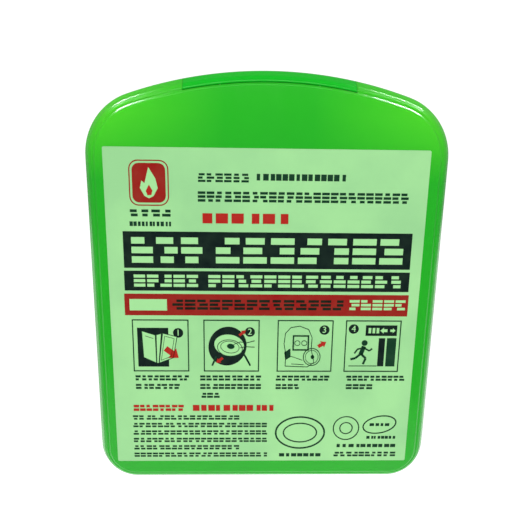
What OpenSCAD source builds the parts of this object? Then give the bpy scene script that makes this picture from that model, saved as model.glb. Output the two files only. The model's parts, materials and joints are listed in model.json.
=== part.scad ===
/* [Case] */
// Overall width of the storage case
case_w = 170; // [160:1:180]
// Overall height of the storage case
case_h = 208; // [204:1:216]
// Overall depth of the storage case, label included
case_d = 98; // [98:0.5:102]
// Thickness of the moulded case walls
wall = 2; // [1.6:0.1:2.2]
// Radius of the domed top
dome_r = 200; // [190:5:220]
// Radius that blends the dome into the sides
shoulder_r = 30; // [26:1:34]
// Radius of the two bottom corners
foot_r = 19; // [16:1:22]
// Depth of the cover in front of the seam
cover_d = 36; // [34:1:38]
// Radius of the rounded edge round the cover's front and the tray's back
edge_r = 5.5; // [5:0.5:6]
// Distance from the outline to the raised front panel
panel_inset = 5; // [5:0.2:7]
// Height of the raised front panel above the rim
panel_rise = 1.2; // [0.8:0.1:1.6]

/* [Label] */
// Width of the luminous front label
label_w = 150; // [140:1:154]
// Height of the luminous front label
label_h = 161.2; // [150:0.2:162]
// Thickness of the label film
label_t = 0.25; // [0.2:0.05:0.4]

/* [Hinge and latch] */
// Radius of the hinge barrel along the bottom of the seam
barrel_r = 3.2; // [3:0.1:3.4]
// Radius of the steel hinge pins
pin_r = 1; // [0.9:0.05:1.2]
// Width of the latch clip at the top of the case
clip_w = 78; // [70:1:84]
// Distance that the latch clip reaches over the tray behind the seam
clip_reach = 8; // [7:0.5:9]

/* [Filter canister] */
// Outer radius of the filter canister
can_r = 50; // [48:0.5:51]
// Depth of the filter canister from front to back
can_d = 40; // [39:0.5:41]
// Height of the canister's axis above the base
can_z = 67; // [66:0.5:68]
// Radius of the air inlet and of its plug's seat
inlet_r = 15; // [13:0.5:16]
// Bore radius of the outlet neck
neck_bore_r = 16; // [15:0.5:16.5]

/* [Hidden] */
$fn = 96;
HULL_FN = 32;
DOME_STEPS = 24;
CORNER_STEPS = 8;
ROUND_STEPS = 5;
FIT = 0.05;
GAP = 0.3;
EPS = 0.01;

// Case: planes and centres
front_y = -case_d / 2;
back_y = case_d / 2;
face_y = front_y + label_t;
rim_y = face_y + panel_rise;
seam_y = face_y + cover_d;
dome_z = case_h - dome_r;
shoulder_x = case_w / 2 - shoulder_r;
shoulder_z = dome_z + sqrt(pow(dome_r - shoulder_r, 2) - pow(shoulder_x, 2));
label_z = 12.8;
label_shift = -0.5;
screw_x = 45;
screw_z = 150;
screw_hole_r = 2.5;
tongue_foot = 30;
rib_x = 38;
rib_w = 3;

// Hinge: two groups of three knuckles, and a barrel that closes the gap between them
hinge_z = barrel_r + 0.2;
hinge_group_x = 45;
cover_knuckle_w = 15;
tray_knuckle_w = 7;
hinge_relief_x = case_w / 2 - 7.8;
knuckle_shift = (cover_knuckle_w + tray_knuckle_w + 1) / 2;
pin_len = cover_knuckle_w + 2 * tray_knuckle_w;

// Latch: a clip sunk into the dome, pivoted near its front edge
clip_t = 2.4;
clip_lip_h = 4.1;
clip_lip_gap = 0.6;
clip_lip_t = 1.8;
clip_pin_y = face_y + 4.55;
clip_pin_z = case_h - 6.8;
clip_barrel_r = 2.2;
clip_barrel_w = 44;
clip_lug_w = 4;
clip_tooth_w = 24;
clip_tooth_h = 1.2;
pocket_gap = 0.4;
pocket_wall = 2;
pocket_depth = 9.5;
pocket_deep_y = clip_pin_y + 4;
keeper_t = 4;
lug_r = 1.9;
lug_t = 3;

// Vacuum bag
bag_w = 146;
bag_bottom = 8.3;
bag_top = 186;
bag_front_y = front_y + 3.8;
bag_back_y = back_y - 6.5;
bag_seal_y = 5;
film_t = 0.5;
seal_w = 5;
bag_corner_r = 30;
bag_foot_r = 14;

// Filter canister, measured along its axis from front to back
can_front_y = -31;
can_back_y = can_front_y + can_d;
can_wall = 1.2;
inlet_collar_h = 6;
neck_wall = 3;
neck_h = 8;
bed_r = can_r - can_wall - 0.4;
screen_t = 0.6;
layer_gap = 0.2;
front_screen_y = can_front_y + inlet_collar_h + 0.5;
filter_t = 8;
desiccant_t = 5;
catalyst_t = 8;
carbon_t = 3;
filter_y = front_screen_y + screen_t + layer_gap;
screen_1_y = filter_y + filter_t + layer_gap;
desiccant_y = screen_1_y + screen_t + layer_gap;
screen_2_y = desiccant_y + desiccant_t + layer_gap;
catalyst_y = screen_2_y + screen_t + layer_gap;
screen_3_y = catalyst_y + catalyst_t + layer_gap;
carbon_y = screen_3_y + screen_t + layer_gap;
screen_4_y = carbon_y + carbon_t + layer_gap;
spring_y = screen_4_y + screen_t + layer_gap;
spring_wire_r = 0.6;
spring_r = 34;

// Mask, valves and plugs
mask_front_y = can_back_y + 1.6;
mask_back_y = bag_back_y - 4.5;
mask_wall = 2.4;
mask_port_r = 27;
mask_pocket_r = can_r;
neck_r = neck_bore_r + neck_wall;
mask_lobe_x = 20;
mask_lobe_r = 24;
mask_lobe_z = can_z - 14;
mask_nose_r = 13;
mask_nose_z = can_z + 28;
mask_rim = 6;
plug_head_t = 2.5;
plug_tab_h = 4;
plug_tab_t = 3;
bung_h = 5;
valve_seat_t = 1;
valve_disc_t = 0.5;
inhale_seat_y = can_back_y - 0.6;
exhale_y = 25;
exhale_r = 13;
exhale_bore_r = 10;
exhale_h = 11;
exhale_bottom = can_z - 42;
exhale_seat_t = 5.2;
exhale_cover_t = 2;

// Folded hood
hood_w = 138;
hood_front_y = -30;
hood_back_y = bag_back_y - 2;
visor_w = 92;
visor_h = 48;
visor_z = 126;
visor_t = 0.6;
visor_border = 5;
neck_seal_w = 104;
neck_seal_bottom = 120;
neck_seal_top = 172;
neck_hole_w = 64;
neck_seal_h = 14;
band_w = 104;
band_h = 9;
band_z = 108;
strap_x = 59;
strap_w = 15;
strap_t = 1.2;
strap_z = 122;
strap_len = 49;
strap_y = hood_front_y - 0.9;
buckle_z = 128;
buckle_w = 20;
buckle_h = 12;
buckle_t = 3.6;

// ---------- Outlines ----------

// Front outline of the case, moved inwards by inset; every arc stays concentric
module case_outline(inset = 0) {
  half = case_w / 2 - inset;
  // Far point on the line from the dome's centre through the shoulder's centre
  reach = 1.4;
  sector_x = reach * shoulder_x;
  sector_z = dome_z + reach * (shoulder_z - dome_z);
  intersection() {
    translate([0, dome_z]) circle(dome_r - inset, $fn = 360);
    polygon([[0, dome_z], [-sector_x, sector_z], [sector_x, sector_z]]);
  }
  for (side = [-1, 1]) {
    translate([side * shoulder_x, shoulder_z]) circle(shoulder_r - inset);
    translate([side * (case_w / 2 - foot_r), foot_r]) circle(foot_r - inset);
  }
  translate([-half, foot_r]) square([2 * half, shoulder_z - foot_r]);
  translate([foot_r - case_w / 2, inset]) square([case_w - 2 * foot_r, shoulder_z - inset]);
}

// A case outline extruded from y0 to y1
module slab(y0, y1, inset = 0) {
  translate([0, y1, 0]) rotate([90, 0, 0]) linear_extrude(y1 - y0) case_outline(inset);
}

// Points on an arc, from angle a0 to angle a1 in n steps
function arc(x, z, r, a0, a1, n) =
  [for (i = [0:n]) let (a = a0 + (a1 - a0) * i / n) [x + r * cos(a), z + r * sin(a)]];

// The case outline as points, anticlockwise from the right foot
function case_points(inset) =
  let (
    foot_x = case_w / 2 - foot_r,
    join = atan2(shoulder_z - dome_z, shoulder_x),
    step = (180 - 2 * join) / DOME_STEPS
  ) concat(
    arc(foot_x, foot_r, foot_r - inset, -90, 0, CORNER_STEPS),
    arc(shoulder_x, shoulder_z, shoulder_r - inset, 0, join, CORNER_STEPS),
    arc(0, dome_z, dome_r - inset, join + step, 180 - join - step, DOME_STEPS - 2),
    arc(-shoulder_x, shoulder_z, shoulder_r - inset, 180 - join, 180, CORNER_STEPS),
    arc(-foot_x, foot_r, foot_r - inset, 180, 270, CORNER_STEPS)
  );

// Solid through a list of [y, inset] sections of the case, from front to back
module case_loft(sections) {
  n = len(case_points(0));
  last = len(sections) - 1;
  points = [for (s = sections, p = case_points(s[1])) [p[0], s[0], p[1]]];
  sides = [for (i = [0:last - 1], j = [0:n - 1])
    let (k = (j + 1) % n) [i * n + j, i * n + k, (i + 1) * n + k, (i + 1) * n + j]];
  front = [for (j = [0:n - 1]) n - 1 - j];
  back = [for (j = [0:n - 1]) last * n + j];
  polyhedron(points, concat([front], sides, [back]));
}

// [y, inset] sections of an edge rounded to radius r, where the case ends at y_edge
function round_sections(y_edge, inset, r, dir) =
  [for (k = [0:ROUND_STEPS]) let (a = 90 * k / ROUND_STEPS)
    [y_edge - dir * r * (1 - cos(a)), inset + r * (1 - sin(a))]];

// Case shape with a rounded back edge, open plane at y0
module rounded_back(y0, y_edge, inset, r) {
  edge = round_sections(y_edge, inset, r, 1);
  case_loft(concat([[y0, inset]], [for (k = [ROUND_STEPS:-1:0]) edge[k]]));
}

// Case shape with a rounded front edge, open plane at y1
module rounded_front(y_edge, y1, inset, r) {
  case_loft(concat(round_sections(y_edge, inset, r, -1), [[y1, inset]]));
}

// Part of a ring that is concentric with the dome, |x| <= w/2, from radius r0 to r1
module dome_band(w, r0, r1, y0, y1) {
  reach = 40;
  translate([0, y1, 0]) rotate([90, 0, 0]) linear_extrude(y1 - y0)
    intersection() {
      difference() {
        translate([0, dome_z]) circle(r1, $fn = 360);
        translate([0, dome_z]) circle(r0, $fn = 360);
      }
      translate([-w / 2, case_h - reach]) square([w, 2 * reach]);
    }
}

// Rounded rectangle with its own top and foot radii, standing on z0
module bag_outline(w, z0, z1, top_r, low_r) {
  half = w / 2;
  for (side = [-1, 1]) {
    translate([side * (half - top_r), z1 - top_r]) circle(top_r);
    translate([side * (half - low_r), z0 + low_r]) circle(low_r);
  }
  translate([top_r - half, z1 - top_r]) square([w - 2 * top_r, top_r]);
  translate([-half, z0 + low_r]) square([w, z1 - top_r - z0 - low_r]);
  translate([low_r - half, z0]) square([w - 2 * low_r, low_r]);
}

// Bag outline extruded from y0 to y1, moved inwards by inset
module bag_slab(y0, y1, inset = 0) {
  translate([0, y1, 0]) rotate([90, 0, 0]) linear_extrude(y1 - y0)
    bag_outline(bag_w - 2 * inset, bag_bottom + inset, bag_top - inset,
      bag_corner_r - inset, bag_foot_r - inset);
}

// Places children on the canister's axis at y; their +Z points to the back
module on_can_axis(y) {
  translate([0, y, can_z]) rotate([-90, 0, 0]) children();
}

// A tube on the canister's axis
module can_tube(y, h, r_out, r_in) {
  on_can_axis(y) difference() {
    cylinder(r = r_out, h = h);
    translate([0, 0, -EPS]) cylinder(r = r_in, h = h + 2 * EPS);
  }
}

// A cylinder along X, centred on x
module x_rod(x, y, z, r, len) {
  translate([x - len / 2, y, z]) rotate([0, 90, 0]) cylinder(r = r, h = len);
}

// ---------- Case ----------

// Countersunk hole for a wall screw, driven from inside the tray
module wall_screw_hole(x) {
  sink_r = 4.4;
  translate([x, back_y + 1, screw_z]) rotate([90, 0, 0]) cylinder(r = screw_hole_r, h = wall + 3);
  translate([x, back_y - wall / 2, screw_z]) rotate([90, 0, 0])
    cylinder(r1 = screw_hole_r, r2 = sink_r, h = wall / 2 + EPS);
}

// Tray knuckles, on each side of each cover knuckle
module tray_knuckles(r, extra = 0) {
  for (group = [-1, 1], side = [-1, 1])
    x_rod(group * hinge_group_x + side * knuckle_shift,
      seam_y, hinge_z, r, tray_knuckle_w + extra);
}

// Bores for the hinge pins, through each group of knuckles
module hinge_bores() {
  for (group = [-1, 1])
    x_rod(group * hinge_group_x, seam_y, hinge_z, pin_r + FIT, pin_len + 5);
}

module case_tray() {
  tongue_w = 1.3;
  tongue_len = 3;
  color("limegreen", 0.9) difference() {
    union() {
      difference() {
        rounded_back(seam_y + GAP / 2, back_y, 0, edge_r);
        rounded_back(seam_y - 1, back_y - wall, wall, edge_r - wall);
        // Room for the cover's barrel along the bottom
        translate([-hinge_relief_x, seam_y - 1, -1])
          cube([2 * hinge_relief_x, hinge_z + 1.3, 2 * hinge_z + 1]);
      }
      // Tongue that guides the closed cover, clear of the hinge and of the latch
      difference() {
        slab(seam_y - tongue_len, seam_y + 4, wall + GAP);
        slab(seam_y - tongue_len - 1, seam_y + 5, wall + GAP + tongue_w);
        translate([-case_w / 2, seam_y - 9, -1]) cube([case_w, 18, tongue_foot + 1]);
        translate([-clip_w / 2 - 4, seam_y - 9, case_h - 30]) cube([clip_w + 8, 18, 40]);
      }
      intersection() {
        difference() {
          slab(seam_y + 1, seam_y + 4, wall / 2);
          slab(seam_y, seam_y + 5, wall + GAP + tongue_w);
        }
        translate([-case_w / 2, seam_y, tongue_foot]) cube([case_w, 6, case_h]);
      }
      // Keeper block under the back of the latch clip
      dome_band(clip_w + 2 * pocket_wall, dome_r - 1 - keeper_t, dome_r - 1,
        seam_y + GAP / 2, seam_y + clip_reach + 3);
      // Knuckles and the webs that carry them
      tray_knuckles(barrel_r);
      for (group = [-1, 1], side = [-1, 1])
        translate([group * hinge_group_x + side * knuckle_shift - tray_knuckle_w / 2,
          seam_y, hinge_z - barrel_r])
          cube([tray_knuckle_w, barrel_r + 4, 2 * barrel_r]);
      // Two ribs that carry the packed hood clear of the hinge
      for (side = [-1, 1])
        translate([side * rib_x - rib_w / 2, bag_seal_y + 6, wall - EPS])
          cube([rib_w, bag_back_y - bag_seal_y - 8, bag_bottom - wall - 0.1]);
    }
    hinge_bores();
    // Sunk seat of the latch clip, and the notch for its tooth
    dome_band(clip_w + 2 * pocket_gap, dome_r - clip_t - pocket_gap, dome_r + 2,
      seam_y - 5, seam_y + clip_reach + pocket_gap);
    dome_band(clip_tooth_w + 2 * pocket_gap, dome_r - clip_t - clip_tooth_h - GAP, dome_r + 2,
      seam_y - 5, seam_y + clip_reach - 0.5);
    for (side = [-1, 1]) wall_screw_hole(side * screw_x);
  }
}

module front_cover() {
  lug_x = clip_barrel_w / 2 + clip_lug_w / 2 + 1;
  lug_h = 14;
  band = clip_w + 2 * pocket_wall;
  deep_floor_r = dome_r - pocket_depth - pocket_wall;
  shallow_r = dome_r - clip_t - pocket_gap;
  color("limegreen", 0.9) difference() {
    union() {
      difference() {
        union() {
          rounded_front(rim_y, seam_y - GAP / 2, 0, edge_r - panel_rise);
          slab(rim_y - panel_rise / 2, rim_y + 1, panel_inset);
          slab(face_y, rim_y + 1, panel_inset + panel_rise / 2);
        }
        rounded_front(rim_y + wall, seam_y + 1, wall, edge_r - wall);
      }
      // Walls of the pocket that the latch clip sits in
      intersection() {
        slab(face_y + wall, seam_y - GAP / 2, wall / 2);
        union() {
          dome_band(band, shallow_r - pocket_wall, dome_r, pocket_deep_y, seam_y - GAP / 2);
          dome_band(band, deep_floor_r, dome_r, face_y + wall, pocket_deep_y + pocket_wall);
        }
      }
      // Barrel along the bottom of the seam
      intersection() {
        x_rod(0, seam_y, hinge_z, barrel_r, 2 * hinge_relief_x - 1);
        slab(seam_y - 5, seam_y + 5, 0.15);
      }
    }
    // Pocket: shallow under the clip's plate, deep round its pivot, open at the front for its lip
    dome_band(clip_w + 2 * GAP, shallow_r, dome_r + 2, pocket_deep_y - 1, seam_y + 1);
    dome_band(clip_w + 2 * GAP, dome_r - pocket_depth, dome_r + 2, face_y + 1.7, pocket_deep_y);
    dome_band(clip_w + 2 * GAP, dome_r - clip_lip_h - clip_lip_gap, dome_r + 2, face_y - 2, face_y + 3);
    // Notches that let the bottom wall swing past the tray's knuckles
    tray_knuckles(barrel_r + 0.4, 0.6);
    for (group = [-1, 1], side = [-1, 1])
      translate([group * hinge_group_x + side * knuckle_shift - tray_knuckle_w / 2 - GAP,
        seam_y - hinge_z - 0.6, -1])
        cube([tray_knuckle_w + 2 * GAP, hinge_z + 5, hinge_z + 1]);
    hinge_bores();
  }
  // Lugs that hold the latch pin
  color("limegreen") for (side = [-1, 1])
    difference() {
      union() {
        x_rod(side * lug_x, clip_pin_y, clip_pin_z, lug_r, clip_lug_w);
        translate([side * lug_x - clip_lug_w / 2, clip_pin_y - lug_t / 2, case_h - lug_h])
          cube([clip_lug_w, lug_t, clip_pin_z - case_h + lug_h]);
      }
      x_rod(0, clip_pin_y, clip_pin_z, pin_r + FIT, clip_w);
      dome_band(clip_w, deep_floor_r - 10, deep_floor_r + 0.5, face_y, pocket_deep_y);
    }
}

module front_label() {
  corner_r = 0.8;
  color("palegreen") translate([label_shift, face_y, label_z + label_h / 2]) rotate([90, 0, 0])
    linear_extrude(label_t) union() {
      square([label_w - 2 * corner_r, label_h], center = true);
      square([label_w, label_h - 2 * corner_r], center = true);
      for (sx = [-1, 1], sz = [-1, 1])
        translate([sx * (label_w / 2 - corner_r), sz * (label_h / 2 - corner_r)]) circle(corner_r, $fn = 24);
    }
}

module hinge_pins() {
  color("silver") for (group = [-1, 1])
    x_rod(group * hinge_group_x, seam_y, hinge_z, pin_r, pin_len);
}

module latch_clip() {
  tail_y = seam_y + clip_reach;
  nose_r = 3;
  web_t = 2.6;
  color("forestgreen") difference() {
    intersection() {
      union() {
        dome_band(clip_w, dome_r - clip_t, dome_r + 1, face_y, tail_y);
        dome_band(clip_w, dome_r - clip_lip_h, dome_r + 1, face_y, face_y + clip_lip_t);
        dome_band(clip_tooth_w, dome_r - clip_t - clip_tooth_h, dome_r - 1, seam_y + 3, seam_y + 6);
        x_rod(0, clip_pin_y, clip_pin_z, clip_barrel_r, clip_barrel_w);
        translate([-clip_barrel_w / 2, clip_pin_y - web_t / 2, clip_pin_z])
          cube([clip_barrel_w, web_t, case_h - clip_pin_z - clip_t - pocket_gap]);
      }
      rounded_front(face_y, tail_y + 1, 0, nose_r);
    }
    x_rod(0, clip_pin_y, clip_pin_z, pin_r + FIT, clip_w);
  }
}

module latch_pin() {
  color("silver") x_rod(0, clip_pin_y, clip_pin_z, pin_r, clip_barrel_w + 2 * clip_lug_w + 2);
}

// ---------- Vacuum bag ----------

module bag_seal(y, t) {
  difference() {
    bag_slab(y, y + t, -seal_w);
    bag_slab(y - 1, y + t + 1, film_t);
  }
}

module bag_front_film() {
  color("gainsboro", 0.5) {
    difference() {
      bag_slab(bag_front_y, bag_seal_y);
      bag_slab(bag_front_y + film_t, bag_seal_y + 1, film_t);
    }
    bag_seal(bag_seal_y - film_t, film_t);
  }
}

module bag_back_film() {
  color("gainsboro", 0.5) {
    difference() {
      bag_slab(bag_seal_y, bag_back_y);
      bag_slab(bag_seal_y - 1, bag_back_y - film_t, film_t);
    }
    bag_seal(bag_seal_y, film_t);
  }
}

// ---------- Folded hood ----------

module hood_fabric() {
  inset = (bag_w - hood_w) / 2;
  color("silver") difference() {
    bag_slab(hood_front_y, hood_back_y, inset);
    on_can_axis(hood_front_y - 1) cylinder(r = can_r + 2.2, h = can_back_y + 1 - hood_front_y + 1);
    on_can_axis(can_back_y) cylinder(r = mask_pocket_r, h = hood_back_y - can_back_y + 1);
  }
}

module visor_window() {
  color("lightcyan", 0.5)
    translate([-visor_w / 2, hood_front_y - visor_t - 0.2, visor_z]) cube([visor_w, visor_t, visor_h]);
}

module visor_frame() {
  color("dimgray") difference() {
    translate([-visor_w / 2, hood_front_y - 2 * visor_t - 0.6, visor_z]) cube([visor_w, visor_t, visor_h]);
    translate([-visor_w / 2 + visor_border, hood_front_y - 5, visor_z + visor_border])
      cube([visor_w - 2 * visor_border, 9, visor_h - 2 * visor_border]);
  }
}

module neck_seal() {
  color("dimgray") translate([0, hood_back_y + 1.2, 0]) rotate([90, 0, 0]) linear_extrude(1)
    difference() {
      bag_outline(neck_seal_w, neck_seal_bottom, neck_seal_top, 20, 20);
      bag_outline(neck_hole_w, neck_seal_bottom + 2 + neck_seal_h, neck_seal_top - neck_seal_h, 9, 9);
    }
}

module reflective_band() {
  color("white") translate([-band_w / 2, hood_back_y + 0.1, band_z]) cube([band_w, 0.3, band_h]);
}

module head_straps() {
  color("black") for (side = [-1, 1])
    translate([side * strap_x - strap_w / 2, strap_y - strap_t, strap_z]) cube([strap_w, strap_t, strap_len]);
}

// Two-bar slider: the strap runs through the slot between its front and back plates
module strap_buckle(side) {
  slot_t = strap_t + 0.5;
  plate_t = (buckle_t - slot_t) / 2;
  back_t = 0.55;
  front_y = strap_y - strap_t / 2 - slot_t / 2 - plate_t;
  color("black") difference() {
    translate([side * strap_x - buckle_w / 2, front_y, buckle_z])
      cube([buckle_w, plate_t + slot_t + back_t, buckle_h]);
    translate([side * strap_x - strap_w / 2 - 0.3, front_y + plate_t, buckle_z - 1])
      cube([strap_w + 0.6, slot_t, buckle_h + 2]);
    translate([side * strap_x - strap_w / 2 - 0.3, front_y - 1, buckle_z + 4])
      cube([strap_w + 0.6, plate_t + 2, buckle_h - 8]);
  }
}

module strap_buckle_left() {
  strap_buckle(-1);
}

module strap_buckle_right() {
  strap_buckle(1);
}

// ---------- Mask ----------

// Rounded-triangle cup that narrows towards the canister, moved inwards by inset
module mask_cup(inset) {
  hull($fn = HULL_FN) {
    on_can_axis(mask_front_y + inset) cylinder(r = mask_port_r - inset, h = 1);
    for (side = [-1, 1])
      translate([side * mask_lobe_x, mask_back_y, mask_lobe_z]) rotate([90, 0, 0])
        cylinder(r = mask_lobe_r - inset, h = mask_rim);
    translate([0, mask_back_y, mask_nose_z]) rotate([90, 0, 0]) cylinder(r = mask_nose_r - inset, h = mask_rim);
  }
}

module half_mask() {
  color("darkslategray") difference() {
    mask_cup(0);
    difference() {
      mask_cup(mask_wall);
      on_can_axis(mask_front_y) cylinder(r = mask_port_r + 20, h = mask_wall);
    }
    translate([0, mask_back_y + EPS, 0]) intersection() {
      translate([-60, -mask_wall, can_z - 60]) cube([120, mask_wall + 1, 120]);
      mask_opening(mask_wall);
    }
    on_can_axis(mask_front_y - 1) cylinder(r = neck_r + FIT, h = mask_wall + 4);
    translate([0, exhale_y, exhale_bottom - 11]) cylinder(r = exhale_r + FIT, h = 30);
  }
}

// The open face of the mask
module mask_opening(inset) {
  translate([0, 2, 0]) rotate([90, 0, 0]) linear_extrude(mask_rim) hull() {
    for (side = [-1, 1]) translate([side * mask_lobe_x, mask_lobe_z]) circle(mask_lobe_r - inset);
    translate([0, mask_nose_z]) circle(mask_nose_r - inset);
  }
}

module mask_face_seal() {
  seal_t = 1.6;
  color("black") difference() {
    intersection() {
      translate([0, mask_back_y + 0.1, 0]) mask_opening(-1.5);
      translate([-60, mask_back_y + 0.05, 0]) cube([120, seal_t, 140]);
    }
    translate([0, mask_back_y, 0]) mask_opening(7);
  }
}

module exhalation_valve_body() {
  port_x = 5.5;
  port_r = 2;
  color("black") translate([0, exhale_y, exhale_bottom]) difference() {
    cylinder(r = exhale_r, h = exhale_h);
    translate([0, 0, -1]) cylinder(r = exhale_bore_r, h = exhale_h - exhale_seat_t + 1);
    for (k = [0:5]) rotate([0, 0, 60 * k]) translate([port_x, 0, -1]) cylinder(r = port_r, h = exhale_h + 2);
  }
}

module exhalation_valve_disc() {
  seat_z = exhale_bottom + exhale_h - exhale_seat_t;
  color("ivory") translate([0, exhale_y, seat_z - valve_disc_t - FIT])
    cylinder(r = exhale_bore_r - 0.6, h = valve_disc_t);
}

module exhalation_valve_cover() {
  slot_x = 8;
  slot_r = 2;
  color("dimgray") translate([0, exhale_y, exhale_bottom - exhale_cover_t - 2 * FIT]) difference() {
    cylinder(r = exhale_r, h = exhale_cover_t);
    for (k = [0:7]) rotate([0, 0, 45 * k]) translate([slot_x, 0, -1])
      cylinder(r = slot_r, h = exhale_cover_t + 2);
  }
}

// ---------- Filter canister ----------

module canister_front_cap() {
  cap_h = can_d / 2;
  color("whitesmoke") {
    on_can_axis(can_front_y) difference() {
      cylinder(r = can_r, h = cap_h);
      translate([0, 0, can_wall]) cylinder(r = can_r - can_wall, h = cap_h);
      translate([0, 0, -1]) cylinder(r = inlet_r, h = can_wall + 2);
    }
    can_tube(can_front_y, inlet_collar_h, inlet_r + 2, inlet_r);
  }
}

module canister_rear_cap() {
  cap_h = can_d / 2 - layer_gap;
  color("whitesmoke") {
    on_can_axis(can_back_y - cap_h) difference() {
      cylinder(r = can_r, h = cap_h);
      translate([0, 0, -can_wall]) cylinder(r = can_r - can_wall, h = cap_h);
      translate([0, 0, -1]) cylinder(r = neck_bore_r, h = cap_h + 2);
    }
    can_tube(can_back_y - can_wall, neck_h + can_wall, neck_r, neck_bore_r);
  }
}

module canister_rim_band() {
  band_h = 5;
  color("silver") can_tube(can_front_y + can_d / 2 - band_h / 2, band_h, can_r + 1.4, can_r + 0.02);
}

module canister_label() {
  paper_t = 0.2;
  color("gold") can_tube(can_front_y - paper_t - FIT, paper_t, can_r - 6, inlet_r + 10);
}

module canister_gasket() {
  color("black") can_tube(can_back_y + 0.05, 1.4, neck_r + 5, neck_r + 0.05);
}

module hood_clamp_ring() {
  ring_h = 3;
  color("silver") can_tube(mask_front_y + mask_wall + 0.05, ring_h, neck_r + 2.2, neck_r + 0.05);
}

// Perforated disc at y, on the canister's axis
module screen(y) {
  ring_pitch = 13;
  hole_r = 3.5;
  on_can_axis(y) difference() {
    cylinder(r = bed_r, h = screen_t);
    for (ring = [1:3], k = [0:6 * ring - 1])
      rotate([0, 0, 60 * k / ring]) translate([ring_pitch * ring, 0, -1])
        cylinder(r = hole_r, h = screen_t + 2, $fn = 24);
  }
}

module front_screen() {
  color("silver") screen(front_screen_y);
}

module retaining_screens() {
  color("silver") for (y = [screen_1_y, screen_2_y, screen_3_y, screen_4_y]) screen(y);
}

module bed(y, t) {
  on_can_axis(y) cylinder(r = bed_r, h = t);
}

module particulate_filter() {
  color("white") bed(filter_y, filter_t);
}

module desiccant_bed() {
  color("skyblue") bed(desiccant_y, desiccant_t);
}

module catalyst_bed() {
  color("sienna") bed(catalyst_y, catalyst_t);
}

module carbon_bed() {
  color("black") bed(carbon_y, carbon_t);
}

// Flat ring spring with three raised waves, swept as one closed band
module bed_spring() {
  steps = 72;
  sides = 8;
  free_h = can_back_y - can_wall - spring_y - layer_gap;
  wave = free_h / 2 - spring_wire_r;
  points = [for (i = [0:steps - 1], j = [0:sides - 1])
    let (a = 360 * i / steps, b = 360 * j / sides, r = spring_r + spring_wire_r * cos(b))
      [r * cos(a), r * sin(a), free_h / 2 + wave * cos(3 * a) + spring_wire_r * sin(b)]];
  faces = [for (i = [0:steps - 1], j = [0:sides - 1])
    let (n = (i + 1) % steps, m = (j + 1) % sides)
      [i * sides + j, i * sides + m, n * sides + m, n * sides + j]];
  color("silver") on_can_axis(spring_y) polyhedron(points, faces);
}

module inhalation_valve_seat() {
  port_x = neck_bore_r / 2;
  port_r = 3;
  color("ivory") on_can_axis(inhale_seat_y) difference() {
    cylinder(r = neck_bore_r - 0.02, h = valve_seat_t);
    for (k = [0:5]) rotate([0, 0, 60 * k]) translate([port_x, 0, -1]) cylinder(r = port_r, h = valve_seat_t + 2);
  }
}

module inhalation_valve_disc() {
  color("ivory") on_can_axis(inhale_seat_y + valve_seat_t + FIT)
    cylinder(r = neck_bore_r - 3, h = valve_disc_t);
}

// Rubber plug: a bung, a head and a pull tab, pointing out of its hole along dir
module plug(face_at, bore, dir) {
  head_r = bore + 3;
  tab_w = head_r * 1.1;
  translate([0, face_at, can_z]) rotate([-90 * dir, 0, 0]) {
    translate([0, 0, -bung_h]) cylinder(r = bore - FIT, h = bung_h + 2 * FIT);
    translate([0, 0, FIT]) cylinder(r = head_r, h = plug_head_t);
    translate([-tab_w / 2, -plug_tab_t / 2, plug_head_t])
      cube([tab_w, plug_tab_t, plug_tab_h]);
  }
}

module front_plug() {
  color("red") plug(can_front_y, inlet_r, -1);
}

module rear_plug() {
  color("red") plug(can_back_y + neck_h, neck_bore_r, 1);
}

case_tray();
front_cover();
front_label();
hinge_pins();
latch_clip();
latch_pin();
bag_front_film();
bag_back_film();
hood_fabric();
visor_window();
visor_frame();
neck_seal();
reflective_band();
half_mask();
mask_face_seal();
head_straps();
strap_buckle_left();
strap_buckle_right();
canister_front_cap();
canister_rear_cap();
canister_rim_band();
canister_label();
front_screen();
particulate_filter();
desiccant_bed();
catalyst_bed();
carbon_bed();
retaining_screens();
bed_spring();
canister_gasket();
hood_clamp_ring();
front_plug();
rear_plug();
inhalation_valve_seat();
inhalation_valve_disc();
exhalation_valve_body();
exhalation_valve_disc();
exhalation_valve_cover();
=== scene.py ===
import json
import math
import random

import bmesh
import bpy
from mathutils import Matrix, Vector, noise


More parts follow.
